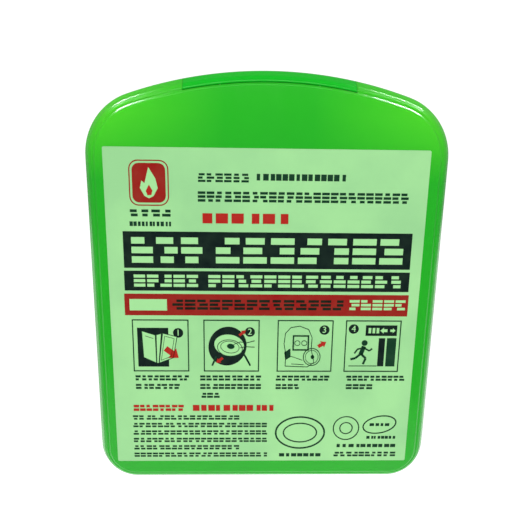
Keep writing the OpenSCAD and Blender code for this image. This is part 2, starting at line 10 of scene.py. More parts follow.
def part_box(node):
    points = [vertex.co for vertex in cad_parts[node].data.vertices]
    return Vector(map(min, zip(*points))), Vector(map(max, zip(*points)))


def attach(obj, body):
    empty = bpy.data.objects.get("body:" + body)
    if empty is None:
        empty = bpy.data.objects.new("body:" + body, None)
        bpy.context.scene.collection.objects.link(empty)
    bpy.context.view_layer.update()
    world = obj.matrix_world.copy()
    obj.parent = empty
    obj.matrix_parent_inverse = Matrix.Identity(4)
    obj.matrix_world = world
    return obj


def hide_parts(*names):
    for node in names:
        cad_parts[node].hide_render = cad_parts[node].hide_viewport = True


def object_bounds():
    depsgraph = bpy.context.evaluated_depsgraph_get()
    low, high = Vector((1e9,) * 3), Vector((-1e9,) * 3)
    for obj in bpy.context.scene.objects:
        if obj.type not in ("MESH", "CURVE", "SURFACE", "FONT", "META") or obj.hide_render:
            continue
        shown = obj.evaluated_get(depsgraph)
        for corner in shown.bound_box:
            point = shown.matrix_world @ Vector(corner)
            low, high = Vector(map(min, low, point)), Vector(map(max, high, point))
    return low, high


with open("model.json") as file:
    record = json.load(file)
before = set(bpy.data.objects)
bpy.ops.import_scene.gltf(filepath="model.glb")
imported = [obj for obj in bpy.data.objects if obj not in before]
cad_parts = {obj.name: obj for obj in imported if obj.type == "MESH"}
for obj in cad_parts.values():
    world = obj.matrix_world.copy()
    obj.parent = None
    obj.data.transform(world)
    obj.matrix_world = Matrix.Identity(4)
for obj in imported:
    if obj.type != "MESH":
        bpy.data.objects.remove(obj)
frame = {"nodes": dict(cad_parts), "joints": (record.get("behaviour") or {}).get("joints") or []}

MM = 0.001
CAD_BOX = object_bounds()
JOINTS = {joint["name"]: joint for joint in frame["joints"]}

# ---------- Measures, in metres, worked out from the frame ----------

CASE_LOW, CASE_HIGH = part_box("case_tray")
CASE_W = CASE_HIGH.x - CASE_LOW.x
CASE_H = CASE_HIGH.z
BACK_Y = CASE_HIGH.y
LABEL_LOW, LABEL_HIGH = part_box("front_label")
FACE_Y = LABEL_HIGH.y
HINGE = Vector(JOINTS["cover_hinge"]["pos_m"])
SEAM_Y = HINGE.y
CLIP_LOW, CLIP_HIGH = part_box("latch_clip")
CLIP_W = CLIP_HIGH.x - CLIP_LOW.x
CLIP_PIVOT = Vector(JOINTS["latch_pivot"]["pos_m"])

WALL = 2 * MM
DOME_R = 200 * MM
SHOULDER_R = 30 * MM
FOOT_R = 19 * MM
EDGE_R = 4.3 * MM
BACK_EDGE_R = 5.5 * MM
PANEL_INSET = 5 * MM
PANEL_RISE = 1.2 * MM
RIM_Y = FACE_Y + PANEL_RISE
RIM_SLANT_D = 6 * MM
SEAM_GAP = 0.15 * MM
BARREL_R = 3.2 * MM

DOME_Z = CASE_H - DOME_R
SHOULDER_X = CASE_W / 2 - SHOULDER_R
SHOULDER_Z = DOME_Z + math.sqrt((DOME_R - SHOULDER_R) ** 2 - SHOULDER_X ** 2)

# ---------- Mesh helpers ----------


def arc(centre, radius, start, end, steps):
    """Points on an arc in the X-Z plane, angles in degrees."""
    angles = [math.radians(start + (end - start) * i / steps) for i in range(steps + 1)]
    return [(centre[0] + radius * math.cos(a), centre[1] + radius * math.sin(a)) for a in angles]


def case_outline(inset=0.0):
    """The case's front outline, anticlockwise from the right foot; every arc stays concentric."""
    foot_x = CASE_W / 2 - FOOT_R
    join = math.degrees(math.atan2(SHOULDER_Z - DOME_Z, SHOULDER_X))
    corner_steps = 20
    dome_steps = 80
    step = (180 - 2 * join) / dome_steps
    return (
        arc((foot_x, FOOT_R), FOOT_R - inset, -90, 0, corner_steps)
        + arc((SHOULDER_X, SHOULDER_Z), SHOULDER_R - inset, 0, join, corner_steps)
        + arc((0, DOME_Z), DOME_R - inset, join + step, 180 - join - step, dome_steps - 2)
        + arc((-SHOULDER_X, SHOULDER_Z), SHOULDER_R - inset, 180 - join, 180, corner_steps)
        + arc((-foot_x, FOOT_R), FOOT_R - inset, 180, 270, corner_steps)
    )


def bridge(bm, loops, closed=False):
    """Faces between neighbouring loops of vertices; closed also joins the last loop to the first."""
    count = len(loops[0])
    pairs = list(zip(loops, loops[1:]))
    if closed:
        pairs.append((loops[-1], loops[0]))
    for first, second in pairs:
        for j in range(count):
            k = (j + 1) % count
            bm.faces.new((first[j], first[k], second[k], second[j]))


def fan(bm, loop, point):
    """Closes a loop of vertices with triangles to one point."""
    hub = bm.verts.new(point)
    for j in range(len(loop)):
        bm.faces.new((loop[j], loop[(j + 1) % len(loop)], hub))


def new_object(name, bm, smooth_angle=32):
    """An object from a bmesh, smooth shaded except at edges sharper than smooth_angle degrees."""
    bmesh.ops.recalc_face_normals(bm, faces=bm.faces)
    mesh = bpy.data.meshes.new(name)
    bm.to_mesh(mesh)
    bm.free()
    shade(mesh, smooth_angle)
    return linked(name, mesh)


def linked(name, data):
    """An object for some data, linked to the scene."""
    obj = bpy.data.objects.new(name, data)
    bpy.context.scene.collection.objects.link(obj)
    return obj


def add_rings(bm, rings, closed_profile=False, cap_ends=True):
    """Joins rings of points, each a closed loop with the same count, into a surface."""
    loops = [[bm.verts.new(p) for p in ring] for ring in rings]
    bridge(bm, loops, closed_profile)
    if cap_ends and not closed_profile:
        bm.faces.new(list(reversed(loops[0])))
        bm.faces.new(loops[-1])


def turn(steps, end=90):
    """(sine, cosine) pairs from 0 to end degrees."""
    angles = [math.radians(end * i / steps) for i in range(steps + 1)]
    return [(math.sin(a), math.cos(a)) for a in angles]


def case_sweep(bm, profile):
    """Solid through a list of (y, inset) sections of the case outline."""
    add_rings(bm, [[(x, y, z) for x, z in case_outline(inset)] for y, inset in profile])


def add_prism(bm, points, y0, y1):
    """A prism on an X-Z outline, from y0 to y1."""
    add_rings(bm, [[(x, y0, z) for x, z in points], [(x, y1, z) for x, z in points]])


def add_box(bm, low, high):
    x0, y0, z0 = low
    x1, y1, z1 = high
    add_prism(bm, [(x0, z0), (x1, z0), (x1, z1), (x0, z1)], y0, y1)


def dome_points(width, radius_low, radius_high, steps=40):
    """Outline of a band that is concentric with the dome."""
    xs = [-width / 2 + width * i / steps for i in range(steps + 1)]
    top, low = ([(x, DOME_Z + math.sqrt(r ** 2 - x * x)) for x in xs] for r in (radius_high, radius_low))
    return top + low[::-1]


def add_band(bm, width, deep, shallow, y0, y1):
    """A band under the dome, from one depth to another; a negative depth stands proud."""
    add_prism(bm, dome_points(width, DOME_R - deep, DOME_R - shallow), y0, y1)


def add_x_rod(bm, x0, x1, y, z, radius, steps=32):
    """A cylinder along X."""
    circle = [(math.cos(2 * math.pi * i / steps), math.sin(2 * math.pi * i / steps)) for i in range(steps)]
    add_rings(bm, [[(x, y + radius * c, z + radius * s) for c, s in circle] for x in (x0, x1)])


def lathe(bm, profile, centre, axis="y", steps=96, closed=True):
    """Revolves a profile of (height, radius) about an axis through centre; closed joins last to first."""
    rings = []
    for height, radius in profile:
        ring = []
        for i in range(steps):
            a = 2 * math.pi * i / steps
            across, up = radius * math.cos(a), radius * math.sin(a)
            offset = (across, height, up) if axis == "y" else (across, up, height)
            ring.append(Vector(centre) + Vector(offset))
        rings.append(ring)
    add_rings(bm, rings, closed_profile=closed, cap_ends=not closed)


def made(name, build, smooth_angle=32):
    """An object from what build(bm) adds to an empty mesh."""
    bm = bmesh.new()
    build(bm)
    return new_object(name, bm, smooth_angle)


def cut(obj, builds):
    """Cuts away what each build(bm) makes."""
    tools = [made("cutter", build) for build in builds]
    for tool in tools:
        modifier = obj.modifiers.new("cut", "BOOLEAN")
        modifier.operation = "DIFFERENCE"
        modifier.solver = "EXACT"
        modifier.object = tool
    apply_modifiers(obj, 32)
    for tool in tools:
        bpy.data.objects.remove(tool)
    return obj


def apply_modifiers(obj, smooth_angle=None):
    """Applies the modifiers; smooth_angle sets the shading again, as new_object does."""
    graph = bpy.context.evaluated_depsgraph_get()
    mesh = bpy.data.meshes.new_from_object(obj.evaluated_get(graph))
    obj.modifiers.clear()
    obj.data = mesh
    if smooth_angle:
        shade(mesh, smooth_angle)
    return obj


def shade(mesh, smooth_angle):
    for polygon in mesh.polygons:
        polygon.use_smooth = True
    mesh.set_sharp_from_angle(angle=math.radians(smooth_angle))


def finish_piece(obj, body, material, replaces=()):
    """Material, body and the CAD nodes that the piece stands for."""
    wear(obj, material)
    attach(obj, body)
    if replaces:
        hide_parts(*replaces)
    return obj


def wear(obj, material):
    obj.data.materials.clear()
    obj.data.materials.append(material)


# ---------- Material helpers ----------


def linear(red, green, blue):
    """A scene-linear colour from an 0-255 sRGB one."""
    def channel(value):
        value /= 255
        return value / 12.92 if value <= 0.04045 else ((value + 0.055) / 1.055) ** 2.4
    return (channel(red), channel(green), channel(blue), 1.0)


def mixed(colour, other, share):
    return tuple(a + (b - a) * share for a, b in zip(colour, other))


class Shader:
    """A Principled material whose procedural inputs are wired up by its methods."""

    def __init__(self, name, colour, roughness, **sockets):
        self.material = bpy.data.materials.new(name)
        self.material.use_nodes = True
        self.tree = self.material.node_tree
        self.bsdf = self.tree.nodes["Principled BSDF"]
        self.colour = colour
        self.bsdf.inputs["Base Color"].default_value = colour
        self.bsdf.inputs["Roughness"].default_value = roughness
        for socket, value in sockets.items():
            self.bsdf.inputs[socket.replace("_", " ")].default_value = value
        self.coordinates = self.tree.nodes.new("ShaderNodeTexCoord").outputs["Object"]
        self.height = None

    def node(self, kind, **settings):
        node = self.tree.nodes.new(kind)
        for name, value in settings.items():
            setattr(node, name, value)
        return node

    def link(self, source, target):
        self.tree.links.new(source, target)

    def mapped(self, scale):
        """Object coordinates scaled by (x, y, z)."""
        mapping = self.node("ShaderNodeMapping")
        mapping.inputs["Scale"].default_value = scale
        self.link(self.coordinates, mapping.inputs["Vector"])
        return mapping.outputs["Vector"]

    def noise(self, scale, detail=4.0, vector=None, distortion=0.0):
        node = self.node("ShaderNodeTexNoise")
        node.inputs["Scale"].default_value = scale
        node.inputs["Detail"].default_value = detail
        node.inputs["Distortion"].default_value = distortion
        self.link(vector or self.coordinates, node.inputs["Vector"])
        return node.outputs["Fac"]

    def voronoi(self, scale, output="Distance", feature="F1"):
        node = self.node("ShaderNodeTexVoronoi", feature=feature)
        node.inputs["Scale"].default_value = scale
        self.link(self.coordinates, node.inputs["Vector"])
        return node.outputs[output]

    def weave(self, threads_per_metre, axes=("x", "z")):
        """A plain weave's height: two crossed sine waves."""
        waves = []
        for axis in axes:
            wave = self.node("ShaderNodeTexWave", bands_direction=axis.upper())
            wave.inputs["Scale"].default_value = threads_per_metre / 20
            self.link(self.coordinates, wave.inputs["Vector"])
            waves.append(wave.outputs["Fac"])
        return self.maths("MULTIPLY", waves[0], waves[1])

    def maths(self, operation, first, second):
        node = self.node("ShaderNodeMath", operation=operation)
        for socket, value in zip(node.inputs, (first, second)):
            if isinstance(value, (int, float)):
                socket.default_value = value
            else:
                self.link(value, socket)
        return node.outputs[0]

    def ranged(self, source, low, high, from_low=0.0, from_high=1.0):
        node = self.node("ShaderNodeMapRange")
        limits = {"From Min": from_low, "From Max": from_high, "To Min": low, "To Max": high}
        for name, value in limits.items():
            node.inputs[name].default_value = value
        self.link(source, node.inputs["Value"])
        return node.outputs["Result"]

    def blend(self, factor, first, second):
        """A colour mixed from two, by a factor socket."""
        node = self.node("ShaderNodeMix", data_type="RGBA")
        for name, value in (("A", first), ("B", second)):
            socket = [s for s in node.inputs if s.name == name and s.type == "RGBA"][0]
            if isinstance(value, tuple):
                socket.default_value = value
            else:
                self.link(value, socket)
        self.link(factor, node.inputs["Factor"])
        return [s for s in node.outputs if s.type == "RGBA"][0]

    def colour_by(self, factor, first, second):
        self.link(self.blend(factor, first, second), self.bsdf.inputs["Base Color"])

    def roughness_by(self, factor, low, high):
        self.link(self.ranged(factor, low, high), self.bsdf.inputs["Roughness"])

    def bump_by(self, height, distance, strength=1.0):
        """Adds a bump; later ones pile on earlier ones. distance is in metres."""
        node = self.node("ShaderNodeBump")
        node.inputs["Distance"].default_value = distance
        node.inputs["Strength"].default_value = strength
        self.link(height, node.inputs["Height"])
        if self.height is not None:
            self.link(self.height, node.inputs["Normal"])
        self.height = node.outputs["Normal"]
        self.link(self.height, self.bsdf.inputs["Normal"])


# ---------- Materials ----------

CASE_GREEN = linear(36, 188, 30)
# Painted shade, darker low over the pack, and the darker side of the random mould flow.
CASE_GREEN_SHADE_AND_FLOW = linear(32, 176, 34)
# Painted light, paler at the shoulders where light shines through the thin plastic.
CASE_GREEN_LIT = linear(78, 216, 40)
# Painted shade: the case green made deeper and less red, for the weaker haze and reflection on the latch.
CLIP_GREEN_WITH_PAINTED_SHADE = linear(4, 190, 30)
LABEL_GREEN = linear(166, 228, 156)
LABEL_GREEN_DEEP = linear(154, 215, 149)
INK_NAVY = linear(4, 18, 22)
INK_GREEN = linear(8, 52, 32)
INK_RED = linear(150, 22, 22)
INK_BRIGHT_RED = linear(178, 28, 26)


def green_plastic(name, colour, deep, light, roughness=0.16):
    """Gloss plastic with mould flow and fine scratches; deep is painted shade, darker round the pack, and
    light is painted light, paler at the shoulders.
    """
    shader = Shader(name, colour, roughness, Subsurface_Weight=0.2, Subsurface_Scale=0.006,
                    Subsurface_Radius=(0.3, 1.0, 0.25), Specular_IOR_Level=0.26)
    axes = shader.node("ShaderNodeSeparateXYZ")
    shader.link(shader.coordinates, axes.inputs[0])
    # Painted shade: darker low down, round the pack, mixed with the random mould flow.
    clear_of_painted_shade = shader.ranged(axes.outputs["Z"], -0.2, 0.8, SHOULDER_Z, CASE_H - 12 * MM)
    flow = shader.ranged(shader.noise(14, 3, distortion=0.6), 0, 0.4, 0.3, 0.7)
    body = shader.blend(shader.maths("ADD", clear_of_painted_shade, flow), deep, colour)
    # Painted light: paler towards the shoulders, on both sides.
    off_centre = shader.maths("ABSOLUTE", axes.outputs["X"], 0.0)
    painted_light_across = shader.ranged(off_centre, 0, 1, 20 * MM, SHOULDER_X + 20 * MM)
    painted_light_up = shader.ranged(axes.outputs["Z"], 0, 1, SHOULDER_Z - 10 * MM, SHOULDER_Z + 20 * MM)
    shader.colour_by(shader.maths("MULTIPLY", painted_light_across, painted_light_up), body, light)
    shader.roughness_by(shader.noise(420, 2, shader.mapped((1, 1, 0.04))), roughness - 0.04, roughness + 0.08)
    shader.bump_by(shader.noise(38, 2), 0.00025, 0.35)
    shader.bump_by(shader.noise(2600, 2), 0.00001, 0.4)
    return shader.material


def mottled(name, colour, roughness, mottle, shades, rough, bumps, **sockets):
    """A material made of noises.

    mottle is (scale, detail, low, high, distortion) and blends the two shades; rough is
    (scale, detail, low, high); each bump is (scale, detail, metres, strength, distortion).
    """
    shader = Shader(name, colour, roughness, **sockets)
    scale, detail, low, high, distortion = mottle
    pattern = shader.noise(scale, detail, distortion=distortion)
    if (low, high) != (0, 1):
        pattern = shader.ranged(pattern, 0, 1, low, high)
    shader.colour_by(pattern, *shades)
    shader.roughness_by(shader.noise(*rough[:2]), *rough[2:])
    for scale, detail, distance, strength, distortion in bumps:
        shader.bump_by(shader.noise(scale, detail, distortion=distortion), distance, strength)
    return shader.material


def label_film():
    """Luminous vinyl: faintly mottled, semi-matt."""
    return mottled(
        "luminous_film", LABEL_GREEN, 0.42, mottle=(28, 5, 0.35, 0.65, 0),
        shades=(LABEL_GREEN_DEEP, LABEL_GREEN), rough=(300, 3, 0.36, 0.5),
        bumps=[(1800, 3, 0.00002, 0.5, 0)], Specular_IOR_Level=0.2)


def ink(name, colour, roughness=0.4):
    """Printed ink: a fine screen grain and slightly uneven cover."""
    worn = mixed(colour, (0.25, 0.5, 0.25, 1), 0.04)
    return mottled(
        name, colour, roughness, mottle=(160, 4, 0.3, 0.8, 0), shades=(worn, colour),
        rough=(900, 2, roughness - 0.06, roughness + 0.08), bumps=[(3000, 2, 0.000008, 0.5, 0)],
        Specular_IOR_Level=0.06)


def bag_film():
    """Clear laminate: mostly see-through, glossy, a little cloudy in patches."""
    return mottled(
        "bag_film", (0.7, 0.74, 0.76, 1), 0.1, mottle=(60, 5, 0.35, 0.7, 0.8),
        shades=((0.5, 0.55, 0.58, 1), (0.85, 0.88, 0.9, 1)), rough=(210, 3, 0.05, 0.2),
        bumps=[(240, 4, 0.0004, 0.5, 1.2), (1500, 2, 0.00003, 0.4, 0)],
        Alpha=0.13, IOR=1.9, Specular_IOR_Level=1.0)


def painted_tin(name, colour):
    """Lacquered tinplate with a faint orange peel and handling marks."""
    marked = mixed(colour, (0.35, 0.34, 0.3, 1), 0.12)
    return mottled(
        name, colour, 0.3, mottle=(55, 6, 0.35, 0.75, 0.5), shades=(marked, colour),
        rough=(240, 4, 0.22, 0.42), bumps=[(700, 2, 0.00003, 0.4, 0), (45, 2, 0.0002, 0.3, 0)],
        Metallic=0.15, Coat_Weight=0.5)


def silicone(name, colour):
    """Translucent silicone with a satin skin."""
    hazy = mixed(colour, (0.5, 0.45, 0.35, 1), 0.15)
    return mottled(
        name, colour, 0.38, mottle=(120, 4, 0, 1, 0), shades=(hazy, colour), rough=(400, 3, 0.3, 0.48),
        bumps=[(1300, 2, 0.00003, 0.5, 0)], Subsurface_Weight=0.3, Subsurface_Scale=0.002)


def moulded(name, colour):
    """Injection-moulded plastic with a spark-eroded texture."""
    darker, lighter = mixed(colour, (0, 0, 0, 1), 0.12), mixed(colour, (1, 1, 1, 1), 0.03)
    return mottled(
        name, colour, 0.42, mottle=(60, 4, 0, 1, 0), shades=(darker, lighter), rough=(320, 3, 0.34, 0.54),
        bumps=[(2200, 3, 0.00005, 0.6, 0)])


def rubber(name, colour, roughness=0.5):
    """Moulded rubber with a matt mould texture, dusty in patches."""
    dusty = mixed(colour, (0.5, 0.48, 0.45, 1), 0.14)
    return mottled(
        name, colour, roughness, mottle=(70, 5, 0.45, 0.85, 0), shades=(colour, dusty),
        rough=(260, 3, roughness - 0.1, roughness + 0.14), bumps=[(900, 3, 0.00008, 0.5, 0)],
        Specular_IOR_Level=0.35)


def bright_metal(name, colour, roughness, grain=(1, 1, 1)):
    """Metal with a drawn or rolled grain."""
    shader = Shader(name, colour, roughness, Metallic=1.0)
    streaks = shader.noise(900, 3, shader.mapped(grain))
    shader.colour_by(streaks, mixed(colour, (0, 0, 0, 1), 0.18), colour)
    shader.roughness_by(streaks, roughness - 0.08, roughness + 0.12)
    shader.bump_by(streaks, 0.00001, 0.5)
    return shader.material


# ---------- Case ----------

LIP = 0.3 * MM                          # edge breaks where the halves meet
FRONT_SEAM_Y = SEAM_Y - SEAM_GAP
BACK_SEAM_Y = SEAM_Y + SEAM_GAP
LATCH_FIT = 0.3 * MM                    # gap at each end of the latch, behind its lip
LIP_FIT = 0.1 * MM                      # gap round the lip, where it shows
LATCH_SEAT_D = 2.8 * MM                 # depth of the latch's plate and the gap under it
POCKET_D = 9.5 * MM
POCKET_END_Y = CLIP_PIVOT.y + 4 * MM
PROUD = 3 * MM                          # how far a cutter stands out of what it cuts
SCREW_X, SCREW_Z, SCREW_R = 45 * MM, 150 * MM, 2.5 * MM


def round_profile(y_edge, inset, radius, towards, steps=10):
    """(y, inset) points round an edge, from the flat at y_edge out to the wall."""
    return [(y_edge - towards * radius * (1 - c), inset + radius * (1 - s)) for s, c in turn(steps)]


def slanted_profile(y_edge, across, deep, steps=36, power=1.5):
    """(y, inset) points of the rim: a slanted band, turning quickly at both ends, with a fine bead."""
    points = []
    bead = 0.12 * MM
    for i in range(steps + 1):
        t = math.radians(90 * i / steps)
        lift = bead * math.sin(2 * t) ** 2 * math.cos(10 * t)
        points.append((y_edge + deep * (1 - math.cos(t) ** power) - lift, across * (1 - math.sin(t) ** power)))
    return points


def build_front_cover():
    """The cover's shell: a raised panel, a slanted rim, and cuts for the latch and the tray's knuckles."""
    chamfer, ease, fillet_r = 0.75 * MM, 0.12 * MM, 0.3 * MM
    foot = PANEL_INSET + 0.15 * MM
    profile = [(FACE_Y, foot + chamfer + 2 * ease), (FACE_Y + ease * 0.3, foot + chamfer + ease),
               (FACE_Y + ease, foot + chamfer), (FACE_Y + ease + chamfer, foot)]
    profile += [(RIM_Y - fillet_r * (1 - s), foot - fillet_r * (1 - c)) for s, c in turn(6)]
    profile += slanted_profile(RIM_Y, EDGE_R, RIM_SLANT_D)
    profile += [(FRONT_SEAM_Y - LIP, 0), (FRONT_SEAM_Y - LIP * 0.3, LIP * 0.3), (FRONT_SEAM_Y, LIP),
                (FRONT_SEAM_Y, WALL - LIP), (FRONT_SEAM_Y - LIP, WALL)]
    profile += round_profile(FACE_Y + WALL + PANEL_RISE, WALL, EDGE_R - WALL, -1, 8)[::-1]
    cover = made("cover_shell", lambda bm: case_sweep(bm, profile))
    pocket_w, lip_w = CLIP_W + 2 * LATCH_FIT, CLIP_W + 2 * LIP_FIT
    cuts = [
        lambda bm: add_band(bm, pocket_w, LATCH_SEAT_D, -PROUD, POCKET_END_Y - MM, FRONT_SEAM_Y + MM),
        lambda bm: add_band(bm, pocket_w, POCKET_D, 6 * MM, FACE_Y + 1.7 * MM, POCKET_END_Y),
        lambda bm: add_band(bm, lip_w, 6.5 * MM, -PROUD, RIM_Y + MM, POCKET_END_Y),
        lambda bm: add_lip_opening(bm, lip_w),
    ]
    for x0, x1 in tray_knuckle_spans(LATCH_FIT):
        low, high = (x0, SEAM_Y - HINGE.z - 0.6 * MM, -MM), (x1, SEAM_Y + 2 * MM, HINGE.z + BARREL_R + MM)
        cuts.append(lambda bm, low=low, high=high: add_box(bm, low, high))
    return cut(cover, cuts)


def add_lip_opening(bm, width):
    """The front of the latch pocket, deeper behind the panel's edge so that the lip can rock."""
    shallow, deep = PANEL_INSET + LIP_FIT, PANEL_INSET + 0.6 * MM
    sections = ((FACE_Y - 2 * MM, shallow), (RIM_Y - 0.34 * MM, shallow),
                (RIM_Y - 0.3 * MM, deep), (RIM_Y + 2 * MM, deep))
    rings = []
    for y, depth in sections:
        rings.append([(x, y, z) for x, z in dome_points(width, DOME_R - depth, DOME_R + PROUD)])
    add_rings(bm, rings)


def tray_knuckle_spans(extra=0.0):
    """X ranges of the tray's four knuckles."""
    group_x, shift, width = 45 * MM, 11.5 * MM, 7 * MM
    middles = [group * group_x + side * shift for group in (-1, 1) for side in (-1, 1)]
    return [(x - width / 2 - extra, x + width / 2 + extra) for x in sorted(middles)]


def build_cover_fittings():
    """What is moulded inside the cover: the latch pocket's walls, the pin lugs and the hinge barrel."""
    bm = bmesh.new()
    half = CLIP_W / 2 + LATCH_FIT
    floor_w = 2 * (half + WALL - 0.1 * MM)
    floor_d = POCKET_D + WALL
    add_band(bm, floor_w, LATCH_SEAT_D + WALL, LATCH_SEAT_D, POCKET_END_Y - WALL, FRONT_SEAM_Y)
    add_band(bm, floor_w, floor_d, POCKET_D, FACE_Y + WALL, POCKET_END_Y)
    add_band(bm, floor_w, floor_d, LATCH_SEAT_D + 0.1 * MM, POCKET_END_Y, POCKET_END_Y + WALL)
    wall_top = DOME_Z + math.sqrt(DOME_R ** 2 - (half + WALL) ** 2) - 0.9 * MM
    walls = ((FACE_Y + 1.6 * MM, POCKET_END_Y + WALL + 0.1 * MM, 10.9 * MM, 5.2 * MM),
             (RIM_Y + RIM_SLANT_D, POCKET_END_Y + WALL + 0.05 * MM, 5.4 * MM, 0.1 * MM),
             (POCKET_END_Y, FRONT_SEAM_Y - 0.05 * MM, 4.4 * MM, 0))
    lug_r, lug_half, post_half = 1.9 * MM, 2 * MM, 1.5 * MM
    for side in (-1, 1):
        x0, x1 = sorted((side * half, side * (half + WALL)))
        for i, (y0, y1, low, high) in enumerate(walls):
            shy = 0.03 * MM * (i + 1)
            add_box(bm, (x0 + shy, y0, wall_top - low), (x1 - shy, y1, wall_top - high))
        lug_x = side * 25 * MM
        add_x_rod(bm, lug_x - lug_half, lug_x + lug_half, CLIP_PIVOT.y, CLIP_PIVOT.z, lug_r)
        add_box(bm, (lug_x - lug_r, CLIP_PIVOT.y - post_half, CASE_H - 14 * MM),
                (lug_x + lug_r, CLIP_PIVOT.y + post_half, CLIP_PIVOT.z))
    barrel_end = 66 * MM
    edges = [-barrel_end] + [x for span in tray_knuckle_spans(LATCH_FIT) for x in span] + [barrel_end]
    for x0, x1 in zip(edges[::2], edges[1::2]):
        add_x_rod(bm, x0, x1, SEAM_Y, HINGE.z, BARREL_R)
    return new_object("cover_fittings", bm)


def build_tray():
    """The tray's shell, cut for the latch's seat, the cover's barrel and two countersunk wall screws."""
    seam = BACK_SEAM_Y
    profile = round_profile(BACK_Y, 0, BACK_EDGE_R, 1, 12)
    profile += [(seam + LIP, 0), (seam, LIP), (seam, WALL - LIP), (seam + LIP, WALL)]
    profile += round_profile(BACK_Y - WALL, WALL, BACK_EDGE_R - WALL, 1, 8)[::-1]
    seat_w, seat_end = CLIP_W + 0.8 * MM, CLIP_HIGH.y + 0.4 * MM
    barrel_half = 77.2 * MM
    screw = [(-PROUD, SCREW_R + 1.9 * MM), (-MM, SCREW_R), (MM, SCREW_R)]
    cuts = [
        lambda bm: add_band(bm, seat_w, LATCH_SEAT_D, -PROUD, seam - MM, seat_end),
        lambda bm: add_box(bm, (-barrel_half, seam - MM, -MM), (barrel_half, SEAM_Y + 3.7 * MM, 6.8 * MM)),
        lambda bm: lathe(bm, screw, (-SCREW_X, BACK_Y, SCREW_Z), closed=False),
        lambda bm: lathe(bm, screw, (SCREW_X, BACK_Y, SCREW_Z), closed=False),
    ]
    return cut(made("tray_shell", lambda bm: case_sweep(bm, profile)), cuts)


def build_tray_fittings():
    """The tray's latch seat, tongue, hinge knuckles and ribs."""
    bm = bmesh.new()
    add_band(bm, CLIP_W + 4 * MM, 5 * MM, LATCH_SEAT_D, BACK_SEAM_Y, CLIP_HIGH.y + 3 * MM)
    shy = 0.05 * MM
    for x0, x1 in tray_knuckle_spans():
        add_x_rod(bm, x0, x1, SEAM_Y, HINGE.z, BARREL_R)
        add_box(bm, (x0 + shy, SEAM_Y, HINGE.z - BARREL_R + shy),
                (x1 - shy, SEAM_Y + BARREL_R + 4 * MM, HINGE.z + BARREL_R - shy))
    rib_half = 1.5 * MM
    for rib_x in (-38 * MM, 38 * MM):
        add_box(bm, (rib_x - rib_half, 11 * MM, WALL), (rib_x + rib_half, BACK_Y - WALL, 8.2 * MM))
    add_tongue(bm)
    return new_object("tray_fittings", bm)


def add_tongue(bm):
    """The lip inside the cover's edge, on both sides from above the hinge round to the latch."""
    start_z = 30 * MM
    clear_x = CLIP_W / 2 + 4 * MM
    y0, y1 = SEAM_Y - 3 * MM, SEAM_Y + 4 * MM
    outer, inner = case_outline(WALL + LIP), case_outline(WALL + 1.6 * MM)
    pairs = [pair for pair in zip(outer, inner) if pair[0][1] > start_z and abs(pair[0][0]) > clear_x]
    for side in (1, -1):
        run = [pair for pair in pairs if pair[0][0] * side > 0]
        end = run[0] if side > 0 else run[-1]
        foot = tuple((x, start_z) for x, z in end)
        run = [foot] + run if side > 0 else run + [foot]
        rings = []
        for (ox, oz), (ix, iz) in run:
            rings.append([(ox, y0 + 0.4 * MM, oz), (ox, y1, oz), (ix, y1, iz), (ix, y0, iz)])
        add_rings(bm, rings)


def build_latch_clip():
    """The clip: a plate that follows the dome, a front lip flush with the rim, a barrel and a tooth."""
    plate_t, lip_h, lip_t, round_r, under_r = 2.4 * MM, PANEL_INSET, 1.5 * MM, 0.5 * MM, 0.28 * MM
    tail = CLIP_HIGH.y
    under = DOME_R - lip_h
    section = [(RIM_Y + under_r * (1 - s), under + under_r * (1 - c)) for s, c in turn(4)]
    section += [(y, DOME_R - inset) for y, inset in slanted_profile(RIM_Y, EDGE_R, RIM_SLANT_D)]
    section += [(tail - round_r * (1 - s), DOME_R - round_r * (1 - c)) for s, c in turn(4)]
    section += [(tail, DOME_R - plate_t), (RIM_Y + lip_t + 4 * MM, DOME_R - plate_t),
                (RIM_Y + lip_t, under + 0.3 * MM), (RIM_Y + lip_t - 0.3 * MM, under)]
    steps = 48
    xs = [-CLIP_W / 2 + CLIP_W * i / steps for i in range(steps + 1)]
    bm = bmesh.new()
    add_rings(bm, [[(x, y, DOME_Z + math.sqrt(r * r - x * x)) for y, r in section] for x in xs])
    barrel_half, web_half = 22 * MM, 1.3 * MM
    web_x = barrel_half - 0.1 * MM
    add_x_rod(bm, -barrel_half, barrel_half, CLIP_PIVOT.y, CLIP_PIVOT.z, 2.2 * MM)
    add_box(bm, (-web_x, CLIP_PIVOT.y - web_half, CLIP_PIVOT.z),
            (web_x, CLIP_PIVOT.y + web_half, CASE_H - 3.8 * MM))
    add_band(bm, 24 * MM, plate_t + 1.2 * MM, plate_t, SEAM_Y + 3 * MM, SEAM_Y + 6 * MM)
    return new_object("latch_clip_body", bm)


# ---------- Label print ----------

LABEL_X = (LABEL_LOW.x + LABEL_HIGH.x) / 2
LABEL_Z = LABEL_LOW.z
PRINT_STEP = 0.035 * MM


def rectangle(u0, u1, v0, v1):
    return [(u0, v0), (u1, v0), (u1, v1), (u0, v1)]


def ellipse(u, v, ru, rv=None, steps=40, tilt=0.0):
    rv = rv or ru
    c, s = math.cos(math.radians(tilt)), math.sin(math.radians(tilt))
    points = []
    for i in range(steps):
        a = 2 * math.pi * i / steps
        p, q = ru * math.cos(a), rv * math.sin(a)
        points.append((u + p * c - q * s, v + p * s + q * c))
    return points


def frame_bars(u0, u1, v0, v1, line):
    """Four bars round a rectangle."""
    return [
        rectangle(u0, u1, v0, v0 + line), rectangle(u0, u1, v1 - line, v1),
        rectangle(u0, u0 + line, v0 + line, v1 - line), rectangle(u1 - line, u1, v0 + line, v1 - line),
    ]


